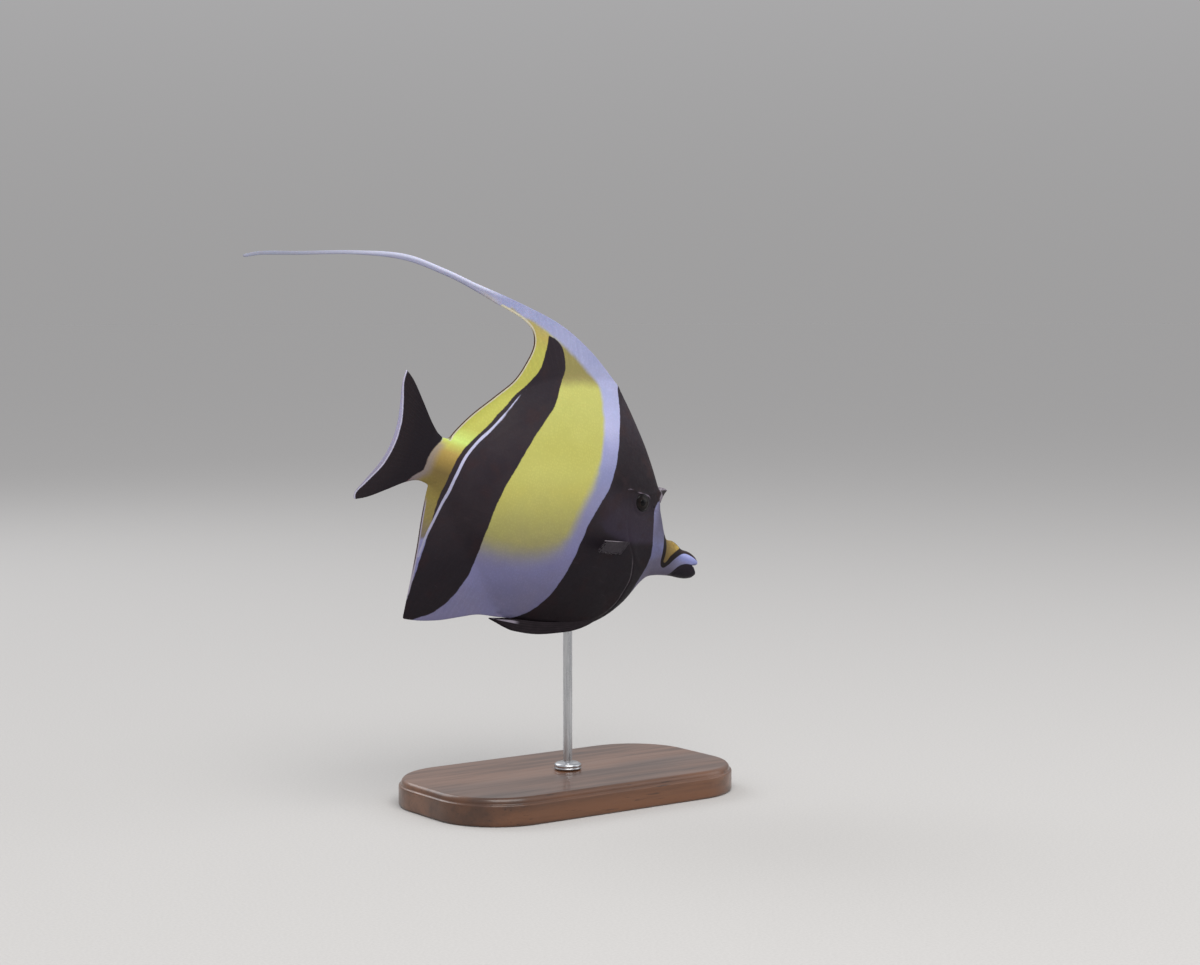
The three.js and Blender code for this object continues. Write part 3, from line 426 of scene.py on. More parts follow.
# mouth: a short gape with lips, and the crease of the upper jaw behind it
GAPE = [(149.0, -5.3), (146.6, -5.3), (144.4, -5.2), (142.8, -5.2), (141.4, -5.5), (140.4, -6.3)]
gape_d, _, gape_s = near(x, z, curve(GAPE, 0.3))
closing = ease((1 - gape_s) / 0.25)
relief += closing * (-0.6 * bump(gape_d, 0.3) + 0.2 * bump(gape_d - 0.85, 0.5))
lip_d, _, lip_s = near(x, z, curve([(146.0, -1.6), (145.2, -2.9), (143.6, -3.7), (141.4, -3.9)], 0.3))
relief += -0.13 * bump(lip_d, 0.42) * ease((1 - lip_s) / 0.3)
under_d, _, under_s = near(x, z, curve([(147.2, -9.6), (146.0, -8.5), (143.6, -7.6)], 0.3))
relief += -0.13 * bump(under_d, 0.4)
jaw_d, jaw_side, jaw_s = near(x, z, curve([(140.2, -6.6), (138.2, -7.2), (136.4, -9.0), (134.4, -11.4), (132.4, -14)], 0.4))
relief += -0.15 * bump(jaw_d, 0.5) * ease(jaw_s / 0.15) * ease((1 - jaw_s) / 0.3)

# lateral line, low
lat_d, _, lat_s = near(x, z, curve(LATERAL_LINE))
relief += 0.07 * bump(lat_d, 0.8) * ease(lat_s / 0.05) * ease((1 - lat_s) / 0.1)

# creases where the nape meets the fin and where the tail fin leaves its stem
nape_d, _, nape_s = near(x, z, curve([(66, 55.0), (71, 55.9), (76.6, 57.0), (81, 57.8)]))
relief += -0.16 * bump(nape_d, 0.6) * ease(nape_s / 0.2)
base_d, base_side, _ = near(x, z, curve(CAUDAL_BASE))
relief += -0.12 * bump(base_d, 0.8) * (abs(z) < 14)
vent = np.hypot((x - 50.5) / 1.4, z + 54.0)
relief += -0.35 * bump(vent, 0.9)

# slow unevenness of flesh
relief += 0.09 * np.sin(x * 0.31 + 1.3 * np.sin(z * 0.13)) * np.sin(z * 0.23 + 0.7) * ease((half - 2.0) / 3.0)
relief *= np.where(edge < 0.02, 0.0, 1.0) + np.where(edge < 0.02, 1.0, 0.0) * (x > 143)

# ---------------------------------------------------------------- the skin as a closed mesh
right = np.arange(count)
left = np.where(is_rim, right, 0)
extra = np.flatnonzero(~is_rim)
left[extra] = count + np.arange(len(extra))
place = np.concatenate([np.stack([x, -half, z], 1), np.stack([x[extra], half[extra], z[extra]], 1)])
of = np.concatenate([right, extra])
faces = np.concatenate([faces2, left[faces2][:, ::-1]])
thin = (faces[:, 0] != faces[:, 1]) & (faces[:, 1] != faces[:, 2]) & (faces[:, 2] != faces[:, 0])
same = np.array([False] * len(faces2) + list(np.all(left[faces2] == faces2, axis=1)))
faces = faces[thin & ~same]


def normals(P, F):
    n = np.cross(P[F[:, 1]] - P[F[:, 0]], P[F[:, 2]] - P[F[:, 0]])
    out = np.stack([sum(np.bincount(F[:, k], n[:, i], len(P)) for k in range(3)) for i in range(3)], 1)
    return out / np.maximum(np.linalg.norm(out, axis=1), 1e-12)[:, None]


place = place + normals(place, faces) * relief[of][:, None]
skin_fields = {name: values[of] for name, values in field.items()}
skin_kind = np.zeros(len(faces), int)

# OFBake: each flank laid flat, one above the other
flat_u = (x + 116) / 268.0
flat_w = (z + 70) / 268.0


def flank_map(F, right_side):
    u = flat_u[of[F]]
    v = flat_w[of[F]]
    return np.stack([0.01 + 0.98 * u, v * 0.88 + np.where(right_side, 0.005, 0.505)[:, None] * 0.98], 2)


face_y = place[faces][:, :, 1].mean(1)
skin_uv = flank_map(faces, face_y < 0)


# ---------------------------------------------------------------- paired fins, ray by ray
def fin_sheet(rows, thick):
    """a closed thin fin: rows is rays x steps x 3, thick the half thickness at each point"""
    across, along = rows.shape[:2]
    du = np.gradient(rows, axis=0)
    dv = np.gradient(rows, axis=1)
    n = np.cross(du, dv)
    n /= np.maximum(np.linalg.norm(n, axis=2), 1e-12)[:, :, None]
    P = np.concatenate([(rows + n * thick[:, :, None]).reshape(-1, 3), (rows - n * thick[:, :, None]).reshape(-1, 3)])
    i, j = np.meshgrid(np.arange(across - 1), np.arange(along - 1), indexing="ij")
    a = (i * along + j).ravel()
    b, c, d = a + along, a + along + 1, a + 1
    N = across * along
    F = [np.stack([a, b, c], 1), np.stack([a, c, d], 1), np.stack([a, c, b], 1) + N, np.stack([a, d, c], 1) + N]
    loop = [k * along for k in range(across)] + [(across - 1) * along + k for k in range(1, along)]
    loop += [k * along + along - 1 for k in range(across - 2, -1, -1)] + [k for k in range(along - 2, 0, -1)]
    loop = np.array(loop)
    nxt = np.roll(loop, -1)
    F += [np.stack([nxt, loop, loop + N], 1), np.stack([nxt, loop + N, nxt + N], 1)]
    F = np.concatenate(F)
    volume = np.einsum("ij,ij->i", P[F[:, 0]], np.cross(P[F[:, 1]], P[F[:, 2]])).sum()
    if volume < 0:
        F = F[:, ::-1]
    return P, F


def pectoral(side):
    rays, steps, ribs = 97, 40, 12
    s = np.linspace(0, 1, rays)[:, None]
    t = np.linspace(0, 1, steps)[None, :]
    x0 = PECTORAL["front"][0] + (PECTORAL["rear"][0] - PECTORAL["front"][0]) * s
    z0 = PECTORAL["front"][1] + (PECTORAL["rear"][1] - PECTORAL["front"][1]) * s
    y0 = half_width(x0.ravel(), z0.ravel())[:, None]
    rib = 0.5 + 0.5 * np.cos(2 * np.pi * ribs * s)
    reach = (1 - 0.03 * s**2) * (1 - 0.02 * (1 - rib))
    aim = np.stack([PECTORAL["back"] * (1 - 0.13 * s) * reach, PECTORAL["out"] * (1 - 0.25 * s) * reach, (PECTORAL["down"] + 1.2 * s) * reach], -1)
    length = np.linalg.norm(aim, axis=-1)
    u = (-PECTORAL["sink"] / length) * (1 - t) + t
    P = np.stack([x0 + aim[..., 0] * u, y0 + aim[..., 1] * u + 0.8 * np.sin(np.pi * t), z0 + aim[..., 2] * u], -1)
    P[..., 1] *= side
    split = ease((t - 0.45) / 0.4)
    ribs2 = 0.5 + 0.5 * np.cos(4 * np.pi * ribs * s)
    ridge = rib * (1 - 0.5 * split) + 0.5 * split * ribs2
    lead = np.exp(-((s / 0.035) ** 2))
    thick = (0.07 + 0.11 * ridge + 0.08 * lead) * (1 - 0.45 * t) + 0.4 * np.exp(-np.maximum(u * length, 0) / 0.9)
    thick = thick * np.clip(np.minimum(s, 1 - s) / 0.015, 0.35, 1) * np.clip((1 - t) / 0.03, 0.3, 1)
    mesh = fin_sheet(P, thick)
    return mesh, (np.repeat(s, steps, 1).ravel(), np.repeat(t, rays, 0).ravel(), ridge.ravel())


pelvic_upper = table([[47, -56.8], [51, -55.7], [56, -54.4], [62, -53.3], [72, -51.4], [84, -48.0], [94, -43.4], [106, -34.5]])
pelvic_lower = table([[47, -57.1], [51, -57.7], [56, -58.5], [62, -58.75], [72, -57.0], [84, -52.9], [90, -50.2], [95.5, -46.7], [101, -42.2], [106, -37.2]])


def pelvic(side):
    """a long narrow fin folded back under the belly; its upper edge and its root lie in the flesh"""
    rays, steps, ribs = 41, 100, 5
    s = np.linspace(0, 1, rays)[:, None] + np.zeros((1, steps))
    t = np.linspace(0, 1, steps)[None, :] + np.zeros((rays, 1))
    px = 105.5 + (47.4 - 105.5) * t
    upper, lower = pelvic_upper(px), pelvic_lower(px)
    pz = upper * (1 - s) + lower * s
    flank = half_width(px.ravel(), pz.ravel()).reshape(px.shape)
    under = near(px.ravel(), pz.ravel(), OUTLINE, True)
    outside = np.where(under[1] > 0, 0.0, under[0]).reshape(px.shape)
    hang = PELVIC["root_out"] * (1 - t) + PELVIC["tip_out"] * t - 0.7 * s
    in_flesh = flank - 0.55 * np.exp(-outside / 0.6) * (1 - ease((s - 0.15) / 0.5))
    y = np.where(outside > 0, hang, np.maximum(hang, in_flesh))
    y = y * (1 - ease((0.2 - t) / 0.2)) + (flank - 0.9) * ease((0.2 - t) / 0.2)
    y = np.stack([np.convolve(np.pad(row, 4, "edge"), np.ones(9) / 9, "valid") for row in y])
    y = np.stack([np.convolve(np.pad(column, 3, "edge"), np.ones(7) / 7, "valid") for column in y.T]).T
    y = np.maximum(0.75, y)
    P = np.stack([px, side * y, pz], -1)
    ridge = 0.5 + 0.5 * np.cos(2 * np.pi * ribs * s)
    thick = (0.12 + 0.12 * ridge) * (1 - 0.5 * t)
    thick = thick * np.clip(np.minimum(s, 1 - s) / 0.05, 0.3, 1) * np.clip((1 - t) / 0.02, 0.3, 1) * np.clip(t / 0.01, 0.3, 1)
    mesh = fin_sheet(P, thick)
    return mesh, (s.ravel(), t.ravel(), ridge.ravel())


all_place, all_faces, all_kind, all_uv = [place], [faces], [skin_kind], [skin_uv]
fin_s, fin_t, fin_rib = ([np.zeros(len(place))] for _ in range(3))
base_fields = {name: [values] for name, values in skin_fields.items()}
offset = len(place)
slot_at = 0
for maker, kind in ((pectoral, 1), (pelvic, 2)):
    for side in (1, -1):
        (P, F), (fs, ft, fr) = maker(side)
        all_place.append(P)
        all_faces.append(F + offset)
        all_kind.append(np.full(len(F), kind))
        for store, values in ((fin_s, fs), (fin_t, ft), (fin_rib, fr)):
            store.append(np.concatenate([values, values]))
        N = len(P) // 2
        u = np.concatenate([ft, ft]) * 0.11
        v = np.concatenate([fs, fs]) * 0.055 + np.concatenate([np.zeros(N), np.full(N, 0.058)])
        corner = np.stack([u[F] + 0.02 + 0.12 * (slot_at % 4), v[F] + 0.36 + 0.0 * F], 2)
        all_uv.append(corner)
        slot_at += 1
        for name in base_fields:
            base_fields[name].append(np.zeros(len(P)))
        offset += len(P)

body_place = np.concatenate(all_place)
body_faces = np.concatenate(all_faces)
body_kind = np.concatenate(all_kind)
body_uv = np.concatenate(all_uv)


def to_row(P):
    """body frame in mm to the row frame in metres"""
    c, s = math.cos(PITCH), math.sin(PITCH)
    P = np.asarray(P, float)
    return np.stack([P[..., 0] * c + P[..., 2] * s + ORIGIN[0], P[..., 1] + ORIGIN[1], -P[..., 0] * s + P[..., 2] * c + ORIGIN[2]], -1) / 1000


def mesh_object(name, P, F, smooth=True):
    me = bpy.data.meshes.new(name)
    if isinstance(F, np.ndarray):
        me.vertices.add(len(P))
        me.vertices.foreach_set("co", np.asarray(P, np.float32).ravel())
        me.loops.add(F.size)
        me.loops.foreach_set("vertex_index", F.astype(np.int32).ravel())
        me.polygons.add(len(F))
        me.polygons.foreach_set("loop_start", np.arange(0, F.size, F.shape[1], dtype=np.int32))
        me.update(calc_edges=True)
        me.validate()
    else:
        me.from_pydata([tuple(p) for p in P], [], F)
        me.update()
    me.polygons.foreach_set("use_smooth", np.full(len(me.polygons), smooth))
    ob = bpy.data.objects.new(name, me)
    bpy.context.scene.collection.objects.link(ob)
    return ob


def add_field(me, name, values, kind="FLOAT"):
    layer = me.attributes.new(name, kind, "POINT")
    layer.data.foreach_set("vector" if kind == "FLOAT_VECTOR" else "value", np.asarray(values, np.float32).ravel())


skin = mesh_object("moorish_idol_skin", to_row(body_place), body_faces)
me = skin.data
add_field(me, "body", body_place, "FLOAT_VECTOR")
for name, parts in base_fields.items():
    add_field(me, name, np.concatenate(parts))
for name, parts in (("fin_s", fin_s), ("fin_t", fin_t), ("fin_rib", fin_rib)):
    add_field(me, name, np.concatenate(parts))
uv = me.uv_layers.new(name="OFBake")
uv.uv.foreach_set("vector", body_uv.astype(np.float32).ravel())
me.polygons.foreach_set("material_index", body_kind.astype(np.int32))


# ---------------------------------------------------------------- materials
def rgb(r, g, b):
    """a colour given as it looks on a screen, 0 to 255"""
    return tuple((v / 255 / 12.92) if v / 255 <= 0.04045 else ((v / 255 + 0.055) / 1.055) ** 2.4 for v in (r, g, b)) + (1.0,)


class Paint:
    """a procedural material under construction"""

    def __init__(self, name):
        self.material = bpy.data.materials.new(name)
        self.material.use_nodes = True
        self.tree = self.material.node_tree
        self.shader = self.tree.nodes["Principled BSDF"]

    def node(self, kind, **settings):
        n = self.tree.nodes.new(kind)
        for key, value in settings.items():
            setattr(n, key, value)
        return n

    def put(self, socket, value):
        if isinstance(value, bpy.types.NodeSocket):
            self.tree.links.new(value, socket)
        else:
            socket.default_value = value

    def attribute(self, name, vector=False):
        n = self.node("ShaderNodeAttribute", attribute_name=name)
        return n.outputs["Vector" if vector else "Fac"]

    def math(self, op, a, b=0.0, clamp=False):
        n = self.node("ShaderNodeMath", operation=op, use_clamp=clamp)
        self.put(n.inputs[0], a)
        self.put(n.inputs[1], b)
        return n.outputs[0]

    def vector(self, op, a, b):
        n = self.node("ShaderNodeVectorMath", operation=op)
        self.put(n.inputs[0], a)
        if op == "SCALE":
            self.put(n.inputs["Scale"], b)
        else:
            self.put(n.inputs[1], b)
        return n.outputs[0]

    def ramp(self, value, low, high, to_low=0.0, to_high=1.0, smooth=True):
        n = self.node("ShaderNodeMapRange", interpolation_type="SMOOTHSTEP" if smooth else "LINEAR", clamp=True)
        self.put(n.inputs["Value"], value)
        for key, v in (("From Min", low), ("From Max", high), ("To Min", to_low), ("To Max", to_high)):
            self.put(n.inputs[key], v)
        return n.outputs["Result"]

    def mix(self, amount, a, b, blend="MIX"):
        n = self.node("ShaderNodeMix", data_type="RGBA", blend_type=blend, clamp_factor=True)
        self.put(n.inputs[0], amount)
        self.put(n.inputs[6], a)
        self.put(n.inputs[7], b)
        return n.outputs[2]

    def along(self, value, *stops):
        """colours one after another along a value: (value, colour) pairs, lowest first"""
        colour = stops[0][1]
        for (low, _), (high, after) in zip(stops, stops[1:]):
            colour = self.mix(self.ramp(value, low, high, smooth=False), colour, after)
        return colour

    def noise(self, where, scale, detail=3.0, rough=0.5, colour=False):
        n = self.node("ShaderNodeTexNoise", noise_dimensions="3D")
        self.put(n.inputs["Vector"], where)
        n.inputs["Scale"].default_value = scale
        n.inputs["Detail"].default_value = detail
        n.inputs["Roughness"].default_value = rough
        return n.outputs["Color" if colour else "Fac"]

    def cells(self, where, scale, feature="F1", spread=1.0):
        n = self.node("ShaderNodeTexVoronoi", feature=feature)
        self.put(n.inputs["Vector"], where)
        n.inputs["Scale"].default_value = scale
        n.inputs["Randomness"].default_value = spread
        return n.outputs["Distance"]

    def bump(self, height, strength, distance, normal=None):
        n = self.node("ShaderNodeBump")
        n.inputs["Strength"].default_value = strength
        n.inputs["Distance"].default_value = distance
        self.put(n.inputs["Height"], height)
        if normal is not None:
            self.put(n.inputs["Normal"], normal)
        return n.outputs["Normal"]

    def finish(self, colour, roughness=None, normal=None, **fixed):
        self.put(self.shader.inputs["Base Color"], colour)
        if roughness is not None:
            self.put(self.shader.inputs["Roughness"], roughness)
        if normal is not None:
            self.put(self.shader.inputs["Normal"], normal)
        for key, value in fixed.items():
            self.shader.inputs[key.replace("_", " ")].default_value = value
        return self.material


def both(p, a, b):
    return p.math("MAXIMUM", a, b)


def scales_of(p, body):
    """rows of small overlapping scales, 1.1 mm apart"""
    n = p.node("ShaderNodeMapping")
    p.put(n.inputs["Vector"], body)
    n.inputs["Scale"].default_value = (1.0, 0.35, 0.78)
    warped = p.vector("ADD", n.outputs[0], p.vector("SCALE", p.noise(body, 0.12, 2.0, colour=True), 1.6))
    return p.cells(warped, 1.05, "F1", 0.62)


def skin_material():
    p = Paint("skin_painted")
    body = p.attribute("body", True)
    coarse = p.math("SUBTRACT", p.noise(body, 0.22, 3.0), 0.5)
    fine = p.math("SUBTRACT", p.noise(body, 1.3, 2.0), 0.5)
    wobble = p.math("ADD", p.math("MULTIPLY", coarse, 0.9), p.math("MULTIPLY", fine, 0.35))
    broad = p.noise(body, 0.06, 3.0)

    def within(name, low, high, shake=1.0, shift=0.0):
        value = p.math("ADD", p.attribute(name), p.math("MULTIPLY", wobble, shake))
        if shift:
            value = p.math("ADD", value, shift)
        return p.ramp(value, low, high)

    def times(*values):
        result = values[0]
        for value in values[1:]:
            result = p.math("MULTIPLY", result, value)
        return result

    where = p.node("ShaderNodeSeparateXYZ")
    p.put(where.inputs[0], body)
    bx, bz = where.outputs[0], where.outputs[2]
    # height over the base, whatever the fish's tilt: the colours deepen towards the belly, which is painted shade from
    # a light above
    height = p.math("SUBTRACT", p.math("MULTIPLY", bz, 0.943), p.math("MULTIPLY", bx, 0.334))
    height = p.math("ADD", height, p.math("MULTIPLY", coarse, 6.0))

    # pale ground: lavender-white above, slate-lavender below, the darkening below being painted shade
    white = p.along(height, (-60.0, rgb(106, 104, 136)), (-42.0, rgb(121, 120, 160)), (-18.0, rgb(138, 139, 176)), (-8.0, rgb(138, 142, 184)), (3.0, rgb(159, 162, 206)), (12.0, rgb(181, 184, 224)), (22.0, rgb(172, 176, 214)), (34.0, rgb(156, 161, 199)))
    white = p.mix(p.ramp(broad, 0.35, 0.7, 0.0, 0.35), white, p.along(height, (-50.0, rgb(118, 112, 132)), (-8.0, rgb(146, 145, 180)), (12.0, rgb(188, 187, 218))))
    # the pale face is painted darker, deepening downward: painted shade
    face = p.ramp(bx, 108.0, 118.0)
    face_tone = p.along(height, (-64.0, rgb(104, 98, 116)), (-49.0, rgb(101, 97, 118)), (-44.5, rgb(104, 105, 141)), (-41.5, rgb(108, 109, 144)), (-37.5, rgb(102, 100, 125)), (-31.5, rgb(94, 90, 112)), (-26.0, rgb(90, 84, 100)))
    face_tone = p.mix(p.ramp(p.noise(body, 0.35, 3.0), 0.35, 0.7, 0.0, 0.5), face_tone, rgb(92, 88, 108))
    white = p.mix(face, white, face_tone)
    # the filament: bright along its top and greyer below, a painted highlight over painted shade, yellowish where it
    # leaves the fin
    thread = times(p.ramp(bx, 12.0, -6.0), p.ramp(bz, 40.0, 46.0))
    strand = p.mix(p.ramp(p.attribute("thread_top"), 0.5, 1.7), rgb(214, 216, 240), rgb(158, 159, 184))
    strand = p.mix(p.ramp(bx, -30.0, -100.0, 0.0, 0.85), strand, rgb(140, 143, 160))
    strand = p.mix(times(p.ramp(p.attribute("thread_low"), 2.4, 0.6), p.ramp(bx, -7.0, 6.0)), strand, rgb(188, 176, 140))
    white = p.mix(thread, white, strand)

    # yellow flank, darkened towards the belly as painted shade
    yellow = p.along(height, (-52.0, rgb(124, 119, 98)), (-42.0, rgb(140, 135, 97)), (-30.0, rgb(164, 159, 97)), (-15.0, rgb(190, 184, 100)), (-8.0, rgb(193, 190, 104)), (4.0, rgb(188, 185, 99)), (20.0, rgb(188, 188, 105)))
    yellow = p.mix(p.ramp(broad, 0.3, 0.7, 0.0, 0.5), yellow, p.along(height, (-40.0, rgb(146, 138, 98)), (-5.0, rgb(198, 196, 112))))
    olive = times(within("olive", -2.4, 3.4, 3.0), p.ramp(bx, 33.0, 46.0))
    yellow = p.mix(olive, yellow, rgb(150, 141, 88))
    shaken = p.math("ADD", p.attribute("yellow"), p.math("MULTIPLY", coarse, 1.6))
    soft_top, soft_middle, soft_low = p.ramp(shaken, -1.2, 1.5), p.ramp(shaken, -3.2, 3.4), p.ramp(shaken, -6.0, 8.0)
    flank = p.mix(p.ramp(bz, 26.0, 8.0), soft_top, soft_middle)
    flank = p.mix(p.ramp(bz, -12.0, -24.0), flank, soft_low)
    colour = p.mix(flank, white, yellow)

    # behind the second band: fin strip, tail stem and the strip of the anal fin
    # the bright yellow-green band along the top of the tail stem is a painted highlight
    back = p.along(bz, (-44.0, rgb(104, 96, 112)), (-33.0, rgb(112, 102, 92)), (-25.0, rgb(130, 118, 74)), (-16.0, rgb(132, 118, 64)), (-5.0, rgb(120, 102, 60)),
                   (0.0, rgb(156, 132, 72)), (4.0, rgb(180, 154, 84)), (7.5, rgb(196, 196, 100)), (10.0, rgb(204, 226, 122)), (17.0, rgb(190, 190, 92)), (60.0, rgb(186, 183, 92)), (66.0, rgb(188, 172, 96)), (74.0, rgb(166, 158, 118)))
    back_in = times(within("rear", -0.9, 1.1, 1.2), p.ramp(p.math("ADD", bz, p.math("MULTIPLY", coarse, 6.0)), -56.0, -44.0))
    colour = p.mix(back_in, colour, back)
    # pale edge line of the fin strip and its thin dark rim
    strip = times(p.ramp(bz, 6.0, 12.0), p.ramp(bx, -4.0, 2.0))
    rim = p.attribute("dorsal_rim")
    colour = p.mix(times(p.ramp(rim, 1.2, 0.8), strip), colour, rgb(206, 200, 176))
    colour = p.mix(times(p.ramp(rim, 0.6, 0.35), strip, p.ramp(bz, 70.0, 64.0)), colour, rgb(72, 50, 36))
    # pale margin of the anal fin with a thin grey outer line
    anal = p.attribute("anal_rim")
    anal_zone = times(p.ramp(bz, -16.0, -22.0), p.ramp(bx, 12.0, 8.0))
    colour = p.mix(times(p.ramp(anal, 1.15, 0.75), anal_zone), colour, rgb(150, 144, 160))
    colour = p.mix(times(p.ramp(anal, 0.5, 0.3), anal_zone, p.ramp(bz, -52.0, -42.0)), colour, rgb(70, 58, 58))

    # black bands: browner at mid height, darkest below and about the eye; the darkening below is painted shade
    black = p.along(height, (-66.0, rgb(26, 20, 25)), (-44.0, rgb(30, 24, 30)), (-20.0, rgb(48, 40, 45)), (4.0, rgb(56, 48, 53)), (26.0, rgb(46, 39, 44)))
    black = p.mix(p.ramp(broad, 0.35, 0.7, 0.0, 0.6), black, p.along(height, (-50.0, rgb(24, 19, 25)), (0.0, rgb(42, 35, 44))))
    # above the cheek line on the head the black is lifted to purple: a painted reflection of the sky, darkest at the
    # eye's height
    purple_reflection = times(within("cheek", -1.4, 1.8, 2.0), p.ramp(bx, 76.0, 84.0))
    black = p.mix(purple_reflection, black, p.along(bz, (-6.0, rgb(50, 42, 56)), (6.0, rgb(50, 42, 52)), (16.0, rgb(28, 21, 27)), (34.0, rgb(40, 32, 38)), (46.0, rgb(54, 46, 54))))
    warm = p.ramp(p.noise(body, 0.11, 2.0), 0.5, 0.72, 0.0, 0.5)
    black = p.mix(warm, black, p.along(height, (-50.0, rgb(34, 20, 24)), (0.0, rgb(58, 42, 44))))
    # lighter streaks over the black bands: painted sheen
    sheen_streak_map = p.node("ShaderNodeMapping")
    p.put(sheen_streak_map.inputs["Vector"], body)
    sheen_streak_map.inputs["Rotation"].default_value = (0.0, math.radians(-14), 0.0)
    sheen_streak_map.inputs["Scale"].default_value = (0.12, 0.2, 0.9)
    streaks = p.noise(sheen_streak_map.outputs[0], 1.0, 4.0, 0.6)
    black = p.mix(p.ramp(streaks, 0.58, 0.8, 0.0, 0.25), black, rgb(62, 53, 58))
    bands = both(p, within("band1", -0.22, 0.22), within("band2", -0.22, 0.22))
    colour = p.mix(bands, colour, black)
    # fine white line down the second band, darker towards the belly as painted shade
    colour = p.mix(within("line", -0.14, 0.18, 0.3), colour, p.along(height, (-34.0, rgb(150, 148, 172)), (0.0, rgb(196, 196, 226))))
    # tail fin: black with a pale margin
    tail_black = p.mix(p.ramp(p.attribute("tail_rim"), 3.0, 12.0), rgb(36, 29, 33), rgb(28, 22, 28))
    stem_pale = times(p.ramp(p.math("ADD", p.attribute("tail"), p.math("MULTIPLY", coarse, 2.0)), -4.6, -0.8), p.ramp(bz, 9.0, 5.0))
    colour = p.mix(stem_pale, colour, p.along(bz, (-12.0, rgb(112, 102, 104)), (0.0, rgb(142, 128, 116)), (8.0, rgb(170, 156, 132))))
    tail_in = within("tail", -0.35, 0.25, 1.2)
    colour = p.mix(tail_in, colour, tail_black)
    colour = p.mix(p.ramp(p.attribute("spur"), -0.14, 0.14), colour, rgb(196, 192, 186))
    tail_wide = p.ramp(p.math("ABSOLUTE", p.math("ADD", bz, -0.5)), 29.0, 8.0, 0.6, 1.9)
    margin_in = p.ramp(p.math("SUBTRACT", tail_wide, p.math("ADD", p.attribute("tail_rim"), p.math("MULTIPLY", wobble, 0.8))), -0.3, 0.35)
    margin_in = times(margin_in, p.ramp(bx, -20.0, -23.0), p.ramp(bz, 40.0, 36.0))
    colour = p.mix(margin_in, colour, p.along(bz, (-28.0, rgb(138, 132, 150)), (10.0, rgb(160, 157, 184)), (28.0, rgb(156, 152, 176))))
    white_rim = times(p.ramp(p.math("ABSOLUTE", p.math("SUBTRACT", p.math("SUBTRACT", tail_wide, p.attribute("tail_rim")), 0.25)), 0.4, 0.1), margin_in)
    colour = p.mix(p.math("MULTIPLY", white_rim, 0.8), colour, rgb(206, 203, 224))

    # head: snout saddle with its dark border, black lower jaw, bright upper lip
    dark = p.mix(p.ramp(broad, 0.35, 0.7), rgb(24, 18, 18), rgb(34, 26, 28))
    dark = p.mix(times(p.ramp(bx, 131.0, 138.0), p.ramp(bz, -3.0, -0.6)), dark, rgb(50, 38, 38))
    in_edge, in_jaw = within("saddle_edge", -0.1, 0.16, 0.15), within("jaw", -0.12, 0.16, 0.2)
    lip = times(p.ramp(bx, 126.0, 137.0), p.ramp(bz, -13.0, -9.0))
    # the pale upper lip darkens downward: painted shade
    lip_tone = p.along(bz, (-11.0, rgb(106, 102, 120)), (-6.5, rgb(118, 118, 148)), (-3.6, rgb(128, 133, 184)), (-1.6, rgb(166, 172, 226)))
    colour = p.mix(p.math("MULTIPLY", lip, 0.95), colour, lip_tone)
    colour = p.mix(in_edge, colour, dark)
    # the gold brightens towards the snout's upper front, partly its own colour and partly a painted highlight
    gold = p.along(p.math("ADD", p.math("MULTIPLY", bz, 0.5), bx), (121.5, rgb(98, 82, 56)), (125.5, rgb(124, 104, 62)), (129.5, rgb(146, 122, 66)), (133.0, rgb(198, 168, 88)))
    gold = p.mix(p.ramp(p.noise(body, 0.9, 2.0), 0.4, 0.65, 0.0, 0.4), gold, rgb(112, 94, 48))
    colour = p.mix(within("saddle", -0.1, 0.35, 0.25), colour, gold)
    colour = p.mix(in_jaw, colour, p.mix(p.ramp(broad, 0.35, 0.7), rgb(30, 24, 34), rgb(38, 32, 42)))
    # pale lines: rim of the gill cover, brow over the eye
    colour = p.mix(p.math("MULTIPLY", within("opercle", -0.35, 0.4, 0.4), p.ramp(bz, -12.0, -30.0, 0.5, 0.9)), colour, rgb(114, 104, 112))
    colour = p.mix(p.math("MULTIPLY", within("brow", -0.2, 0.2, 0.25), 0.75), colour, rgb(124, 112, 126))
    # a near-black ring where the eyeball sinks into the skin: painted shade in the socket
    eye_socket_shade = times(p.ramp(p.attribute("eye"), 4.3, 3.9), p.ramp(bx, 92.0, 94.0))
    colour = p.mix(p.math("MULTIPLY", eye_socket_shade, 0.9), colour, rgb(14, 10, 13))

    # rays in the fins show as faint streaks, and scales as fine speckle
    turn = p.math("MULTIPLY", p.attribute("ray"), 2 * math.pi)
    rays = p.math("MULTIPLY", p.math("ADD", p.math("MULTIPLY", p.math("COSINE", turn), 0.5), 0.5), p.attribute("rayed"))
    colour = p.mix(p.math("MULTIPLY", rays, 0.10), colour, p.mix(1.0, colour, (1.5, 1.5, 1.45, 1), "MULTIPLY"))
    scales = scales_of(p, body)
    speck = p.ramp(scales, 0.05, 0.62)
    colour = p.mix(p.math("MULTIPLY", speck, 0.14), colour, p.mix(1.0, colour, (0.42, 0.42, 0.42, 1), "MULTIPLY"))

    gloss = p.math("ADD", p.ramp(p.noise(body, 0.5, 3.0), 0.3, 0.7, 0.42, 0.54), p.math("MULTIPLY", speck, 0.08))
    finer = p.noise(body, 3.2, 2.0)
    n1 = p.bump(scales, 0.4, 0.00007)
    n2 = p.bump(p.math("MULTIPLY", p.math("COSINE", p.math("MULTIPLY", turn, 2.0)), p.attribute("rayed")), 0.25, 0.00004, n1)
    n3 = p.bump(finer, 0.25, 0.00004, n2)
    return p.finish(colour, gloss, n3, Coat_Weight=0.03, Coat_Roughness=0.22, Specular_IOR_Level=0.12, Subsurface_Weight=0.04, Subsurface_Scale=0.0015)


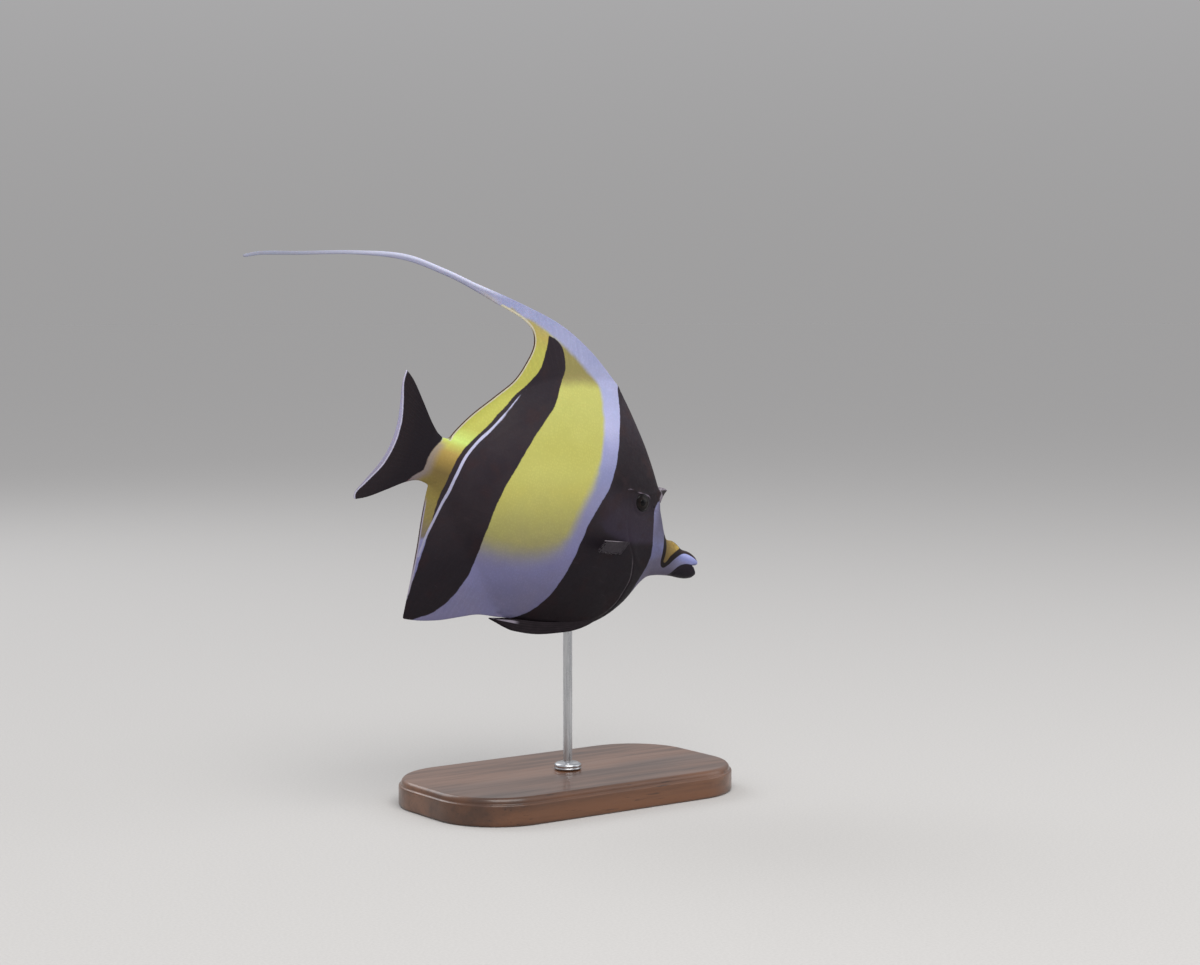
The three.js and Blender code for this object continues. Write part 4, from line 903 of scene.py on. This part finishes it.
def pectoral_material():
    p = Paint("pectoral_membrane")
    body = p.attribute("body", True)
    t, rib, s = p.attribute("fin_t"), p.attribute("fin_rib"), p.attribute("fin_s")
    colour = p.mix(rib, rgb(52, 46, 53), rgb(60, 54, 61))
    colour = p.mix(p.ramp(p.noise(body, 0.3, 2.0), 0.35, 0.7, 0.0, 0.4), colour, rgb(50, 43, 51))
    top = p.math("MULTIPLY", p.ramp(s, 0.06, 0.015), p.ramp(t, 0.25, 0.6))
    colour = p.mix(top, colour, rgb(150, 142, 150))
    # darker towards the root, where the fin lies in shadow: painted shade
    colour = p.mix(p.ramp(t, 0.2, 0.04), colour, rgb(44, 37, 44))
    alpha = p.ramp(rib, 0.0, 1.0, 0.84, 0.92)
    alpha = p.math("MULTIPLY", alpha, p.ramp(t, 1.0, 0.86, 0.2, 1.0))
    alpha = p.math("MULTIPLY", alpha, p.ramp(s, 1.0, 0.84, 0.4, 1.0))
    alpha = both(p, alpha, p.math("MULTIPLY", top, 0.9))
    alpha = both(p, alpha, p.ramp(t, 0.16, 0.04))
    p.put(p.shader.inputs["Alpha"], alpha)
    normal = p.bump(p.noise(body, 1.2, 2.0), 0.15, 0.00003)
    return p.finish(colour, p.ramp(p.noise(body, 0.8, 2.0), 0.3, 0.7, 0.42, 0.52), normal, Coat_Weight=0.02, Coat_Roughness=0.2, Specular_IOR_Level=0.12)


def pelvic_material():
    p = Paint("pelvic_black")
    body = p.attribute("body", True)
    t, rib, s = p.attribute("fin_t"), p.attribute("fin_rib"), p.attribute("fin_s")
    colour = p.mix(p.ramp(p.noise(body, 0.4, 3.0), 0.35, 0.7), rgb(24, 18, 23), rgb(32, 25, 30))
    colour = p.mix(p.math("MULTIPLY", rib, 0.12), colour, rgb(60, 50, 54))
    streak = p.math("MULTIPLY", p.ramp(p.math("ABSOLUTE", p.math("SUBTRACT", s, 0.26)), 0.17, 0.06), p.math("MULTIPLY", p.ramp(t, 0.77, 0.84), p.ramp(t, 1.0, 0.95)))
    colour = p.mix(streak, colour, rgb(150, 142, 156))
    normal = p.bump(p.noise(body, 2.4, 3.0), 0.3, 0.00004)
    return p.finish(colour, p.ramp(p.noise(body, 0.8, 2.0), 0.3, 0.7, 0.42, 0.54), normal, Coat_Weight=0.02, Coat_Roughness=0.2, Specular_IOR_Level=0.12)


for material in (skin_material(), pectoral_material(), pelvic_material()):
    me.materials.append(material)
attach(skin, "root")
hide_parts("head", "snout", "lower_jaw", "trunk", "tail_stem", "dorsal_fin", "dorsal_filament", "anal_fin", "caudal_fin",
            "pectoral_fin_left", "pectoral_fin_right", "pelvic_fin_left", "pelvic_fin_right")


# ---------------------------------------------------------------- eyes
def lathe(profile, around):
    """rows of (radius, height) turned round the third axis; rows of radius 0 close the ends"""
    P, F = [], []
    rings = []
    for r, h in profile:
        if r < 1e-9:
            rings.append([len(P)])
            P.append((0, 0, h))
        else:
            rings.append(list(range(len(P), len(P) + around)))
            P += [(r * math.cos(2 * math.pi * k / around), r * math.sin(2 * math.pi * k / around), h) for k in range(around)]
    for A, B in zip(rings, rings[1:]):
        for k in range(around):
            n = (k + 1) % around
            if len(A) == 1 and len(B) == 1:
                continue
            if len(A) == 1:
                F.append((A[0], B[k], B[n]))
            elif len(B) == 1:
                F.append((A[k], B[0], A[n]))
            else:
                F.append((A[k], B[k], B[n], A[n]))
    return np.array(P, float), F


def eye_profile():
    """from the front pole back: pupil, iris with its raised rims, white of the eye, back"""
    R, D = EYE["radius"], EYE["depth"]
    ball = lambda r: D * math.sqrt(max(0.0, 1 - (r / R) ** 2))
    rows = [(0.0, ball(0) + 0.10)]
    for k in range(1, 9):
        r = 1.55 * k / 8
        rows.append((r, ball(r) + 0.10 * (1 - (r / 1.55) ** 2) ** 0.5 if k < 8 else ball(r) - 0.02))
    rows += [(1.62, ball(1.62) - 0.09), (1.74, ball(1.74) - 0.05)]
    for k in range(1, 11):
        r = 1.74 + 1.3 * k / 10
        rows.append((r, ball(r) - 0.05 - 0.06 * math.sin(math.pi * k / 10)))
    rows += [(3.12, ball(3.12) + 0.02), (3.25, ball(3.25) + 0.03), (3.4, ball(3.4) + 0.0), (3.6, ball(3.6))]
    for k in range(1, 14):
        angle = math.asin(3.6 / R) + (math.pi - math.asin(3.6 / R)) * k / 13
        rows.append((R * math.sin(angle) if k < 13 else 0.0, D * math.cos(angle)))
    return rows


def eye_material():
    p = Paint("eye_glossy")
    radius = p.attribute("eye_r")
    angle = p.attribute("eye_a")
    spokes = p.node("ShaderNodeCombineXYZ")
    p.put(spokes.inputs[0], p.math("MULTIPLY", p.math("COSINE", angle), 9.0))
    p.put(spokes.inputs[1], p.math("MULTIPLY", p.math("SINE", angle), 9.0))
    p.put(spokes.inputs[2], p.math("MULTIPLY", radius, 0.6))
    fibre = p.noise(spokes.outputs[0], 1.2, 4.0, 0.6)
    iris = p.mix(p.ramp(fibre, 0.35, 0.65), rgb(13, 8, 10), rgb(25, 17, 15))
    iris = p.mix(p.ramp(radius, 2.2, 3.0), iris, rgb(18, 12, 13))
    colour = p.mix(p.ramp(radius, 1.95, 1.74), iris, rgb(36, 27, 23))
    colour = p.mix(p.ramp(radius, 1.66, 1.56), colour, rgb(3, 2, 4))
    colour = p.mix(p.ramp(radius, 3.05, 3.2), colour, rgb(12, 9, 12))
    normal = p.bump(fibre, 0.15, 0.00004)
    return p.finish(colour, p.ramp(fibre, 0.3, 0.7, 0.12, 0.2), normal, Coat_Weight=0.12, Coat_Roughness=0.05, Specular_IOR_Level=0.1)


eye_paint = eye_material()
out_eye = float(half_width(EYE["x"], EYE["z"])[0]) + EYE["proud"] - EYE["depth"]
for side, word in ((1, "left"), (-1, "right")):
    L, F = lathe(eye_profile(), 48)
    local = np.stack([L[:, 0], side * (L[:, 2] + out_eye), L[:, 1]], 1)
    if side > 0:
        local[:, 2] *= -1
    world = local + np.array([EYE["x"], 0, EYE["z"]])
    F = [f[::-1] for f in F]
    eye = mesh_object(f"eye_{word}_glossy", to_row(world), F)
    add_field(eye.data, "eye_r", np.hypot(L[:, 0], L[:, 1]))
    add_field(eye.data, "eye_a", np.arctan2(L[:, 1], L[:, 0]))
    eye.data.materials.append(eye_paint)
    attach(eye, "root")
    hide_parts(f"eye_{word}")


# ---------------------------------------------------------------- horns
def horn(side):
    steps, around = 22, 20
    aim = np.array([0.7, side * 0.45, 0.7])
    aim /= np.linalg.norm(aim)
    foot = np.array([HORN["x"], side * float(half_width(HORN["x"], HORN["z"])[0]), HORN["z"]]) - aim * HORN["sink"]
    total = HORN["length"] + HORN["sink"]
    up = np.array([0.0, 0.0, 1.0])
    P, ts, ring = [], [], []
    t = np.linspace(0, 1, steps)
    centre = foot + aim * (total * t)[:, None] + up * (0.35 * np.sin(np.pi * t**1.1) - 0.45 * t**3)[:, None]
    radius = HORN["radius"] * np.power(1 - t, 0.85) * (1 + 0.12 * np.exp(-((t / 0.25) ** 2)))
    along = np.gradient(centre, axis=0)
    along /= np.linalg.norm(along, axis=1)[:, None]
    for k in range(steps):
        a = np.cross(along[k], up)
        a /= np.linalg.norm(a)
        b = np.cross(a, along[k])
        r = max(radius[k], 0.0)
        if k == steps - 1:
            P.append(centre[k])
            ts.append(1.0)
            ring.append([len(P) - 1])
        else:
            ring.append(list(range(len(P), len(P) + around)))
            for j in range(around):
                q = 2 * math.pi * j / around
                ripple = 1 + 0.035 * math.cos(5 * q) * (1 - t[k])
                P.append(centre[k] + r * ripple * (HORN["across"] * math.cos(q) * a + math.sin(q) * b))
                ts.append(t[k])
    F = [tuple(ring[0][::-1])]
    for A, B in zip(ring, ring[1:]):
        for j in range(around):
            n = (j + 1) % around
            F.append((A[j], A[n], B[0]) if len(B) == 1 else (A[j], A[n], B[n], B[j]))
    return np.array(P), F, np.array(ts)


def horn_material():
    p = Paint("horn_bone")
    body = p.attribute("body", True)
    t, under = p.attribute("horn_t"), p.attribute("horn_u")
    colour = p.mix(p.ramp(p.noise(body, 1.2, 3.0), 0.35, 0.7), rgb(106, 98, 110), rgb(132, 123, 134))
    # the underside of the horn beyond its base is painted dark: painted shade
    colour = p.mix(p.math("MULTIPLY", p.ramp(t, 0.34, 0.5), p.ramp(under, 0.45, 0.0)), colour, rgb(34, 26, 31))
    colour = p.mix(p.ramp(t, 0.9, 1.0), colour, rgb(84, 72, 82))
    normal = p.bump(p.noise(body, 2.5, 4.0), 0.35, 0.00006)
    return p.finish(colour, p.ramp(p.noise(body, 2.0, 2.0), 0.3, 0.7, 0.38, 0.55), normal, Coat_Weight=0.15, Coat_Roughness=0.2)


horn_paint = horn_material()
for side, word in ((1, "left"), (-1, "right")):
    P, F, ts = horn(side)
    ob = mesh_object(f"horn_{word}_curved", to_row(P), F)
    me2 = ob.data
    volume = sum(f.area * f.center.dot(f.normal) for f in me2.polygons)
    centre = np.mean(to_row(P), axis=0)
    outward = sum(f.area * (f.center - Vector(centre)).dot(f.normal) for f in me2.polygons)
    if outward < 0:
        me2.flip_normals()
    around_axis = np.zeros(len(P))
    steps = 22
    for k in range(steps - 1):
        ringed = P[k * 20:(k + 1) * 20]
        around_axis[k * 20:(k + 1) * 20] = (ringed[:, 2] - ringed[:, 2].mean()) / max(np.ptp(ringed[:, 2]) / 2, 1e-6)
    add_field(me2, "body", P, "FLOAT_VECTOR")
    add_field(me2, "horn_t", ts)
    add_field(me2, "horn_u", around_axis)
    me2.materials.append(horn_paint)
    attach(ob, "root")
    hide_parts(f"horn_{word}")


# ---------------------------------------------------------------- the stand
def rounded_plate(length, width, corner, per_corner):
    """a rounded rectangle, with points along its straight sides too"""
    x1, y1, r = length / 2, width / 2, corner
    P = []
    for cx, cy, start in ((x1 - r, -y1 + r, -90), (x1 - r, y1 - r, 0), (-x1 + r, y1 - r, 90), (-x1 + r, -y1 + r, 180)):
        for k in range(per_corner + 1):
            q = math.radians(start + 90 * k / per_corner)
            P.append((cx + r * math.cos(q), cy + r * math.sin(q)))
    return np.array(P)


def base_mesh():
    """a plate turned out with a soft foot, an upright side, a shallow step and a rounded top edge"""
    H = BASE["height"]
    rows = [(1.6, 0.0), (0.9, 0.05), (0.35, 0.35), (0.05, 0.9), (0.0, 1.5), (0.0, H - 3.6), (0.08, H - 3.1), (0.35, H - 2.85), (0.75, H - 2.75)]
    for k in range(0, 9):
        q = math.radians(90 * k / 8)
        rows.append((0.95 + 2.2 * (1 - math.cos(q)), H - 2.6 + 2.6 * math.sin(q)))
    loops = [rounded_plate(BASE["length"] - 2 * i, BASE["width"] - 2 * i, BASE["corner"] - i, 24) for i, _ in rows]
    n = len(loops[0])
    P, F = [], []
    for (inset, h), loop in zip(rows, loops):
        P += [(px, py, h) for px, py in loop]
    for k in range(len(rows) - 1):
        for j in range(n):
            m = (j + 1) % n
            F.append((k * n + j, k * n + m, (k + 1) * n + m, (k + 1) * n + j))
    F.append(tuple(range(n))[::-1])
    F.append(tuple((len(rows) - 1) * n + j for j in range(n)))
    return np.array(P), F


def wood_material():
    p = Paint("base_walnut")
    place = p.node("ShaderNodeTexCoord").outputs["Object"]
    m = p.node("ShaderNodeMapping")
    p.put(m.inputs["Vector"], place)
    m.inputs["Rotation"].default_value = (math.radians(3), math.radians(2), math.radians(4))
    m.inputs["Scale"].default_value = (9.0, 120.0, 120.0)
    grain = p.noise(m.outputs[0], 1.0, 6.0, 0.62)
    m2 = p.node("ShaderNodeMapping")
    p.put(m2.inputs["Vector"], place)
    m2.inputs["Location"].default_value = (0.0, 0.35, 0.02)
    m2.inputs["Scale"].default_value = (2.2, 26.0, 26.0)
    bent = p.vector("ADD", m2.outputs[0], p.vector("SCALE", p.noise(place, 14.0, 3.0, colour=True), 0.5))
    rings = p.noise(bent, 1.0, 3.0, 0.45)
    m3 = p.node("ShaderNodeMapping")
    p.put(m3.inputs["Vector"], place)
    m3.inputs["Scale"].default_value = (60.0, 900.0, 900.0)
    pores = p.noise(m3.outputs[0], 1.0, 3.0, 0.6)
    colour = p.mix(p.ramp(rings, 0.35, 0.66), rgb(62, 38, 25), rgb(112, 72, 46))
    colour = p.mix(p.ramp(grain, 0.42, 0.68, 0.0, 0.6), colour, rgb(46, 28, 19))
    colour = p.mix(p.ramp(pores, 0.6, 0.72, 0.0, 0.65), colour, rgb(28, 17, 12))
    rough = p.ramp(grain, 0.3, 0.7, 0.28, 0.42)
    normal = p.bump(pores, 0.25, 0.00008, p.bump(grain, 0.12, 0.0001))
    return p.finish(colour, rough, normal, Coat_Weight=0.35, Coat_Roughness=0.12)


def steel_material(name, upright=True):
    p = Paint(name)
    place = p.node("ShaderNodeTexCoord").outputs["Object"]
    m = p.node("ShaderNodeMapping")
    p.put(m.inputs["Vector"], place)
    m.inputs["Scale"].default_value = (900.0, 900.0, 40.0) if upright else (160.0, 160.0, 2600.0)
    brushed = p.noise(m.outputs[0], 1.0, 4.0, 0.6)
    smudge = p.noise(place, 60.0, 3.0)
    colour = p.mix(p.ramp(brushed, 0.3, 0.7), rgb(168, 170, 174), rgb(206, 207, 209))
    rough = p.math("ADD", p.ramp(brushed, 0.3, 0.7, 0.2, 0.34), p.ramp(smudge, 0.45, 0.7, 0.0, 0.08))
    normal = p.bump(brushed, 0.12, 0.00004)
    return p.finish(colour, rough, normal, Metallic=1.0)


P, F = base_mesh()
base = mesh_object("stand_base_walnut", P / 1000, F)
base.data.materials.append(wood_material())
for poly in base.data.polygons:
    if len(poly.vertices) > 4:
        poly.use_smooth = False

rod_rows = [(0.0, 11.2), (ROD_RADIUS, 11.2), (ROD_RADIUS, 11.6)] + [(ROD_RADIUS, h) for h in np.linspace(12.5, ROD_TOP - 0.6, 18)] + [(ROD_RADIUS - 0.15, ROD_TOP - 0.2), (ROD_RADIUS - 0.5, ROD_TOP), (0.0, ROD_TOP)]
P, F = lathe([(r, h) for r, h in rod_rows], 48)
rod = mesh_object("stand_rod_steel", P / 1000, [f[::-1] for f in F])
rod.data.materials.append(steel_material("rod_steel"))

b0, top = COLLAR["bottom"], COLLAR["bottom"] + COLLAR["height"]
rows = [(COLLAR["inner"], b0), (COLLAR["outer"] - 0.25, b0), (COLLAR["outer"], b0 + 0.2), (COLLAR["outer"], b0 + 0.75), (COLLAR["outer"] - 0.22, b0 + 0.85), (COLLAR["outer"] - 0.22, b0 + 1.0), (COLLAR["outer"], b0 + 1.1), (COLLAR["outer"], b0 + 1.7)]
for k in range(1, 9):
    q = math.radians(90 * k / 8)
    rows.append((COLLAR["outer"] - 3.3 * (1 - math.cos(q)), b0 + 1.7 + 1.4 * math.sin(q)))
rows += [(COLLAR["inner"] + 0.25, top), (COLLAR["inner"], top - 0.2), (COLLAR["inner"], b0)]
P, F = lathe(rows, 64)
collar = mesh_object("stand_collar_steel", P / 1000, F)
collar.data.materials.append(steel_material("collar_steel", False))


def face_out(ob):
    """flips a closed mesh whose faces point in"""
    volume = 0.0
    for f in ob.data.polygons:
        v = [ob.data.vertices[i].co for i in f.vertices]
        for k in range(1, len(v) - 1):
            volume += v[0].dot(v[k].cross(v[k + 1]))
    if volume < 0:
        ob.data.flip_normals()


bm = bmesh.new()
bm.from_mesh(collar.data)
bmesh.ops.remove_doubles(bm, verts=bm.verts, dist=1e-6)
bm.to_mesh(collar.data)
bm.free()
collar.data.polygons.foreach_set("use_smooth", np.full(len(collar.data.polygons), True))
for ob in (base, rod, collar, bpy.data.objects["eye_left_glossy"], bpy.data.objects["eye_right_glossy"]):
    face_out(ob)
for ob, node, slot in ((base, "stand_base", "stand_wood"), (rod, "stand_rod", "stand_steel"), (collar, "stand_collar", "stand_steel")):
    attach(ob, "root")
    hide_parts(node)

# ---------------------------------------------------------------- floor, light and camera
floor_mesh = bpy.data.meshes.new("floor")
size = 60.0
floor_mesh.from_pydata([(-size, -size, 0), (size, -size, 0), (size, size, 0), (-size, size, 0)], [], [(0, 1, 2, 3)])
floor = bpy.data.objects.new("floor", floor_mesh)
bpy.context.scene.collection.objects.link(floor)
p = Paint("floor_pale")
place = p.node("ShaderNodeTexCoord").outputs["Object"]
tone = p.mix(p.ramp(p.noise(place, 900.0, 2.0), 0.3, 0.7), rgb(192, 190, 188), rgb(197, 195, 193))
floor_mesh.materials.append(p.finish(tone, 1.0, None, Specular_IOR_Level=0.0))

world = bpy.data.worlds.new("studio")
bpy.context.scene.world = world
world.use_nodes = True
tree = world.node_tree
bpy.context.scene.view_settings.view_transform = "Standard"
background = tree.nodes["Background"]
coord = tree.nodes.new("ShaderNodeTexCoord")
split = tree.nodes.new("ShaderNodeSeparateXYZ")
tree.links.new(coord.outputs["Generated"], split.inputs[0])
ramp = tree.nodes.new("ShaderNodeMapRange")
ramp.interpolation_type = "SMOOTHSTEP"
tree.links.new(split.outputs[2], ramp.inputs["Value"])
ramp.inputs["From Min"].default_value = 0.0
ramp.inputs["From Max"].default_value = 0.55
sky = tree.nodes.new("ShaderNodeMix")
sky.data_type = "RGBA"
tree.links.new(ramp.outputs["Result"], sky.inputs[0])
# the horizon is as bright as the far floor under this sky, so no line shows where they meet
sky_share = 0.909
zenith = (0.96, 0.97, 1.0)
far = [shade * sky_share / (1 - shade * (1 - sky_share)) for shade in rgb(194.5, 192.5, 190.5)[:3]]
sky.inputs[6].default_value = (*(z * f for z, f in zip(zenith, far)), 1)
sky.inputs[7].default_value = (*zenith, 1)
tree.links.new(sky.outputs[2], background.inputs["Color"])
background.inputs["Strength"].default_value = 0.7


def area(name, place, target, size, power, colour=(1, 1, 1)):
    light = bpy.data.lights.new(name, "AREA")
    light.shape = "RECTANGLE"
    light.size, light.size_y = size
    light.energy = power
    light.color = colour
    ob = bpy.data.objects.new(name, light)
    bpy.context.scene.collection.objects.link(ob)
    ob.location = place
    ob.rotation_euler = (Vector(target) - Vector(place)).to_track_quat("-Z", "Y").to_euler()
    return ob


area("key", (-0.25, -0.85, 1.4), (0.0, 0.0, 0.13), (1.3, 1.1), 17.5, (1.0, 0.985, 0.96))
area("fill", (1.2, -0.7, 0.55), (0.0, 0.0, 0.13), (1.0, 1.0), 3.0, (0.95, 0.97, 1.0))
area("back", (-0.3, 1.3, 1.1), (0.0, 0.0, 0.14), (1.0, 0.8), 6.0, (0.96, 0.98, 1.0))

camera_data = bpy.data.cameras.new("camera")
camera = bpy.data.objects.new("camera", camera_data)
bpy.context.scene.collection.objects.link(camera)
azimuth, elevation = math.radians(-36), math.radians(4)
look = Vector((-math.sin(azimuth) * math.cos(elevation), math.cos(azimuth) * math.cos(elevation), -math.sin(elevation)))
camera.location = (-0.59798, -0.84732, 0.21172)
camera.rotation_euler = look.to_track_quat("-Z", "Y").to_euler()
camera_data.sensor_width = 36
camera_data.sensor_fit = "HORIZONTAL"
camera_data.lens = 71.006
camera_data.clip_start, camera_data.clip_end = 0.01, 200
bpy.context.scene.camera = camera
